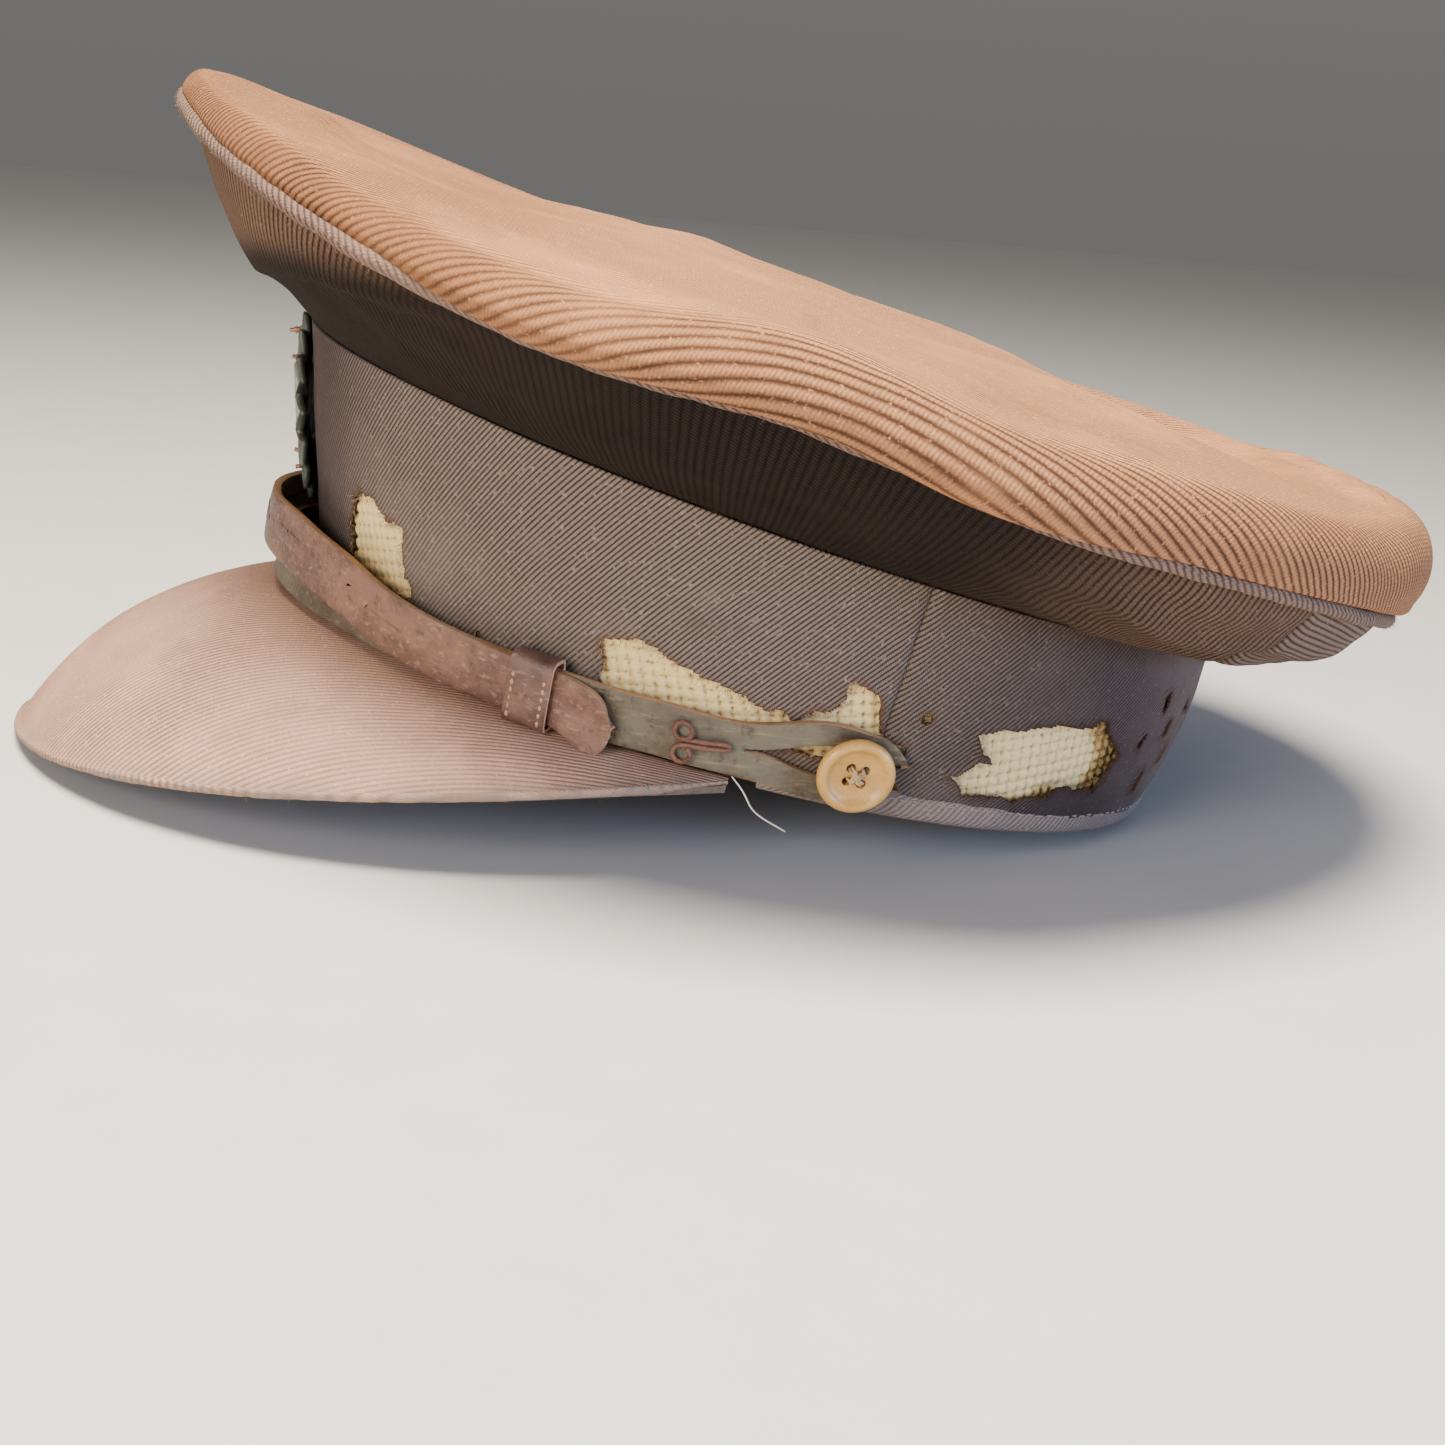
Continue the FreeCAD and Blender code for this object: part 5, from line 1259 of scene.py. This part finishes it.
def badge_frame():
    """Middle, across, up and outward directions of the badge."""
    outward = band_normal(np.float64(0.0), np.float64(BADGE_HEIGHT))
    across = np.array([1.0, 0, 0])
    return band(np.float64(0.0), np.float64(BADGE_HEIGHT)), across, np.cross(outward, across), outward


# Size and height of the shield's outline, from its back over its raised edge to its middle.
SHIELD_ROWS = (
    (1.0, 0.0), (1.0, 0.8), (0.955, 1.15), (0.9, 1.15), (0.87, 0.85), (0.8, 0.9), (0.45, 1.2), (0.02, 1.3),
)


def build_badge():
    """A plain plate of raised rays with a blank shield and a few bent points."""
    origin, across, up, outward = badge_frame()
    turns = np.linspace(0, 2 * math.pi, BADGE_RAYS * 12, endpoint=False)
    radius_share, turn = np.meshgrid(np.linspace(0.0, 1.0, 26), turns, indexing="ij")
    saw = np.abs(((turn * BADGE_RAYS / (2 * math.pi) + 0.25 * BADGE_RAYS + 0.5) % 1.0) - 0.5) * 2
    reach = BADGE_RADIUS - RAY_DEPTH * (1 - saw)
    radius = radius_share * reach
    x, y = radius * np.cos(turn) * 0.86, radius * np.sin(turn)
    relief = 1.5 + 1.0 * saw * smooth((radius_share - 0.35) / 0.3) * (1 - 0.6 * radius_share**3)
    relief = relief + 1.1 * (1 - radius_share**2) + 0.12 * rough_noise(x / 2.0, y / 2.0, 151)
    points = local_points(np.stack([x, y, relief + 0.7], -1), origin, across, up, outward)
    uv = np.stack([x, y], -1)
    uv = np.concatenate([uv, uv[:, :1]], 1)
    plate = grid("badge_rays", points, uv, wrap=True, flip=True)
    thicken(plate, 1.5)
    piece(plate, "cap", ["badge_plate"], "badge_metal", BRONZE)

    t = np.linspace(0, 1, 17)
    left = [(-9.5, 10.4), (-9.5, 6.0), (-9.4, 2.3)]
    belly = [(-9.4 * math.cos(s * math.pi / 2) ** 0.8, 2.3 - 15.0 * math.sin(s * math.pi / 2)) for s in t[1:]]
    top = [(x, 10.4 - 0.9 * math.cos(x / 9.5 * math.pi / 2)) for x in np.linspace(9.5, -9.5, 13)[1:-1]]
    half = left + belly
    outline = np.array(half + [(-x, y) for x, y in half[-2::-1]] + top)
    rows = []
    for scale, lift in SHIELD_ROWS:
        rows.append(np.column_stack([outline * scale, np.full(len(outline), lift + 3.0)]))
    shape = local_points(np.array(rows), origin, across, up, outward)
    uv = np.zeros((len(rows), len(outline) + 1, 2))
    shield = grid("badge_blank_shield", shape, uv, wrap=True)
    piece(shield, "cap", ["badge_shield"], "shield_metal", PALE_METAL)

    pins = []
    draw = np.random.RandomState(152)
    for x, y, length in (
        (3.0, 17.0, 3.2), (-4.0, 13.5, 2.6), (2.0, -13.5, 3.0), (6.5, -10.0, 2.4), (7.0, 11.0, 2.2),
    ):
        t = np.linspace(0, 1, 8)[:, None]
        tip = np.array([draw.normal(0, 1.0), draw.normal(0, 1.0), length])
        path = np.array([x, y, 2.6]) + t * tip
        thick = 0.95 * (1 - 0.55 * t[:, 0]) * (1 + 0.2 * np.sin(t[:, 0] * 14))
        pins.append(tube("pin", local_points(path, origin, across, up, outward), thick, 8))
    piece(join("badge_points", pins), "cap", [], "badge_metal", COPPER)


def build_stray_thread():
    """A loose white thread hanging under the band."""
    t = np.linspace(0, 1, 24)
    start = band(np.radians(88.0), 0.3, 0.6)
    end = start + np.array([1.5, 13.0, -8.0])
    path = start + (end - start) * t[:, None]
    path[:, 2] -= 1.6 * np.sin(t * math.pi)
    path[:, 1] += 0.5 * np.sin(t * 9.0)
    loose = tube("loose_thread", path, 0.17, 6)
    piece(loose, "cap", [], "thread", PALE_YARN)


CAD_FINISHES = {
    "crown_hoop": CANE,
    "crown_front_stay": STEEL,
    "crown_side_lining_left": COTTON,
    "crown_side_lining_right": COTTON,
    "sweatband": HEAD_LEATHER,
    "sweatband_reed": HEAD_LEATHER,
    "visor_core": BOARD,
    "visor_lining": BOARD,
    "badge_post": BRASS,
    "badge_washer": BRASS,
    "badge_nut": BRASS,
}

build_crown()
build_quarters()
build_welt()
build_band()
build_frays()
build_stiffener()
build_binding()
build_visor()
build_strap(outer=False)
build_strap(outer=True)
build_keeper("keeper_left", 1.0)
build_keeper("keeper_right", -1.0)
build_hook()
build_button("button_left", 1.0)
build_button("button_right", -1.0)
build_badge()
build_stray_thread()
for node_name, node_finish in CAD_FINISHES.items():
    dress(NODES[node_name], node_finish)


# ------------------------------------------------------------------ floor, lights, camera


def build_floor():
    """Plain pale paper."""
    half = 4.0
    mesh = bpy.data.meshes.new("floor")
    corners = [(-half, -half, 0), (half, -half, 0), (half, half, 0), (-half, half, 0)]
    mesh.from_pydata(corners, [], [(0, 1, 2, 3)])
    floor = bpy.data.objects.new("floor", mesh)
    bpy.context.scene.collection.objects.link(floor)
    look = Finish("floor_paper", roughness=0.9)
    grain = look.noise(look.here(), 60.0, 4.0)
    look.finish(look.mix(grain, (0.50, 0.485, 0.465), (0.55, 0.535, 0.515)), grain, 0.1, 0.2)
    floor.data.materials.append(look.material)


def add_light(name, where, target, power, size, colour):
    lamp = bpy.data.lights.new(name, "AREA")
    lamp.energy = power
    lamp.shape = "DISK"
    lamp.size = size
    lamp.color = colour
    item = bpy.data.objects.new(name, lamp)
    item.location = where
    item.rotation_euler = (Vector(target) - Vector(where)).to_track_quat("-Z", "Y").to_euler()
    bpy.context.scene.collection.objects.link(item)


def build_lights():
    """A sky that is brighter above, a warm key, a soft fill and a cool light from behind."""
    world = bpy.data.worlds.new("studio")
    world.use_nodes = True
    tree = world.node_tree
    back = next(n for n in tree.nodes if n.type == "BACKGROUND")
    split = tree.nodes.new("ShaderNodeSeparateXYZ")
    tree.links.new(tree.nodes.new("ShaderNodeTexCoord").outputs["Generated"], split.inputs[0])
    rise = tree.nodes.new("ShaderNodeMapRange")
    tree.links.new(split.outputs[2], rise.inputs["Value"])
    rise.inputs["To Min"].default_value = 0.16
    rise.inputs["To Max"].default_value = 0.34
    tree.links.new(rise.outputs[0], back.inputs[1])
    back.inputs[0].default_value = (1.0, 0.985, 0.96, 1)
    bpy.context.scene.world = world
    middle = (0, 0, 0.08)
    add_light("key", (0.28, -0.10, 1.0), middle, 46.0, 0.5, (1.0, 0.91, 0.80))
    add_light("fill", (1.05, -0.70, 0.42), middle, 15.0, 0.7, (1.0, 0.96, 0.93))
    add_light("cool", (0.5, 0.85, 0.15), middle, 8.5, 0.3, (0.35, 0.55, 1.0))


def build_camera():
    """Looks at the wearer's left side, a little from above, tipped as a hand-held camera is."""
    azimuth, elevation, roll = math.radians(84.0), math.radians(14.4), math.radians(15.9)
    distance, aside, below = 493.0, 1.8, -10.0
    flat = math.cos(elevation)
    back = np.array([math.sin(azimuth) * flat, -math.cos(azimuth) * flat, math.sin(elevation)])
    level = unit(np.cross(-back, UP))
    upright = np.cross(level, -back)
    right = level * math.cos(roll) + upright * math.sin(roll)
    up = upright * math.cos(roll) - level * math.sin(roll)
    axes = TO_ROW @ np.column_stack([right, up, back])
    where = place(back * distance + level * aside + upright * below)
    camera = bpy.data.cameras.new("camera")
    camera.sensor_width = 36.0
    camera.lens = 51.8
    camera.clip_start = 0.01
    camera.clip_end = 50.0
    item = bpy.data.objects.new("camera", camera)
    item.matrix_world = Matrix(np.vstack([np.column_stack([axes, where]), [0, 0, 0, 1]]).tolist())
    bpy.context.scene.collection.objects.link(item)
    bpy.context.scene.camera = item


build_floor()
build_lights()
build_camera()
bpy.context.view_layer.update()
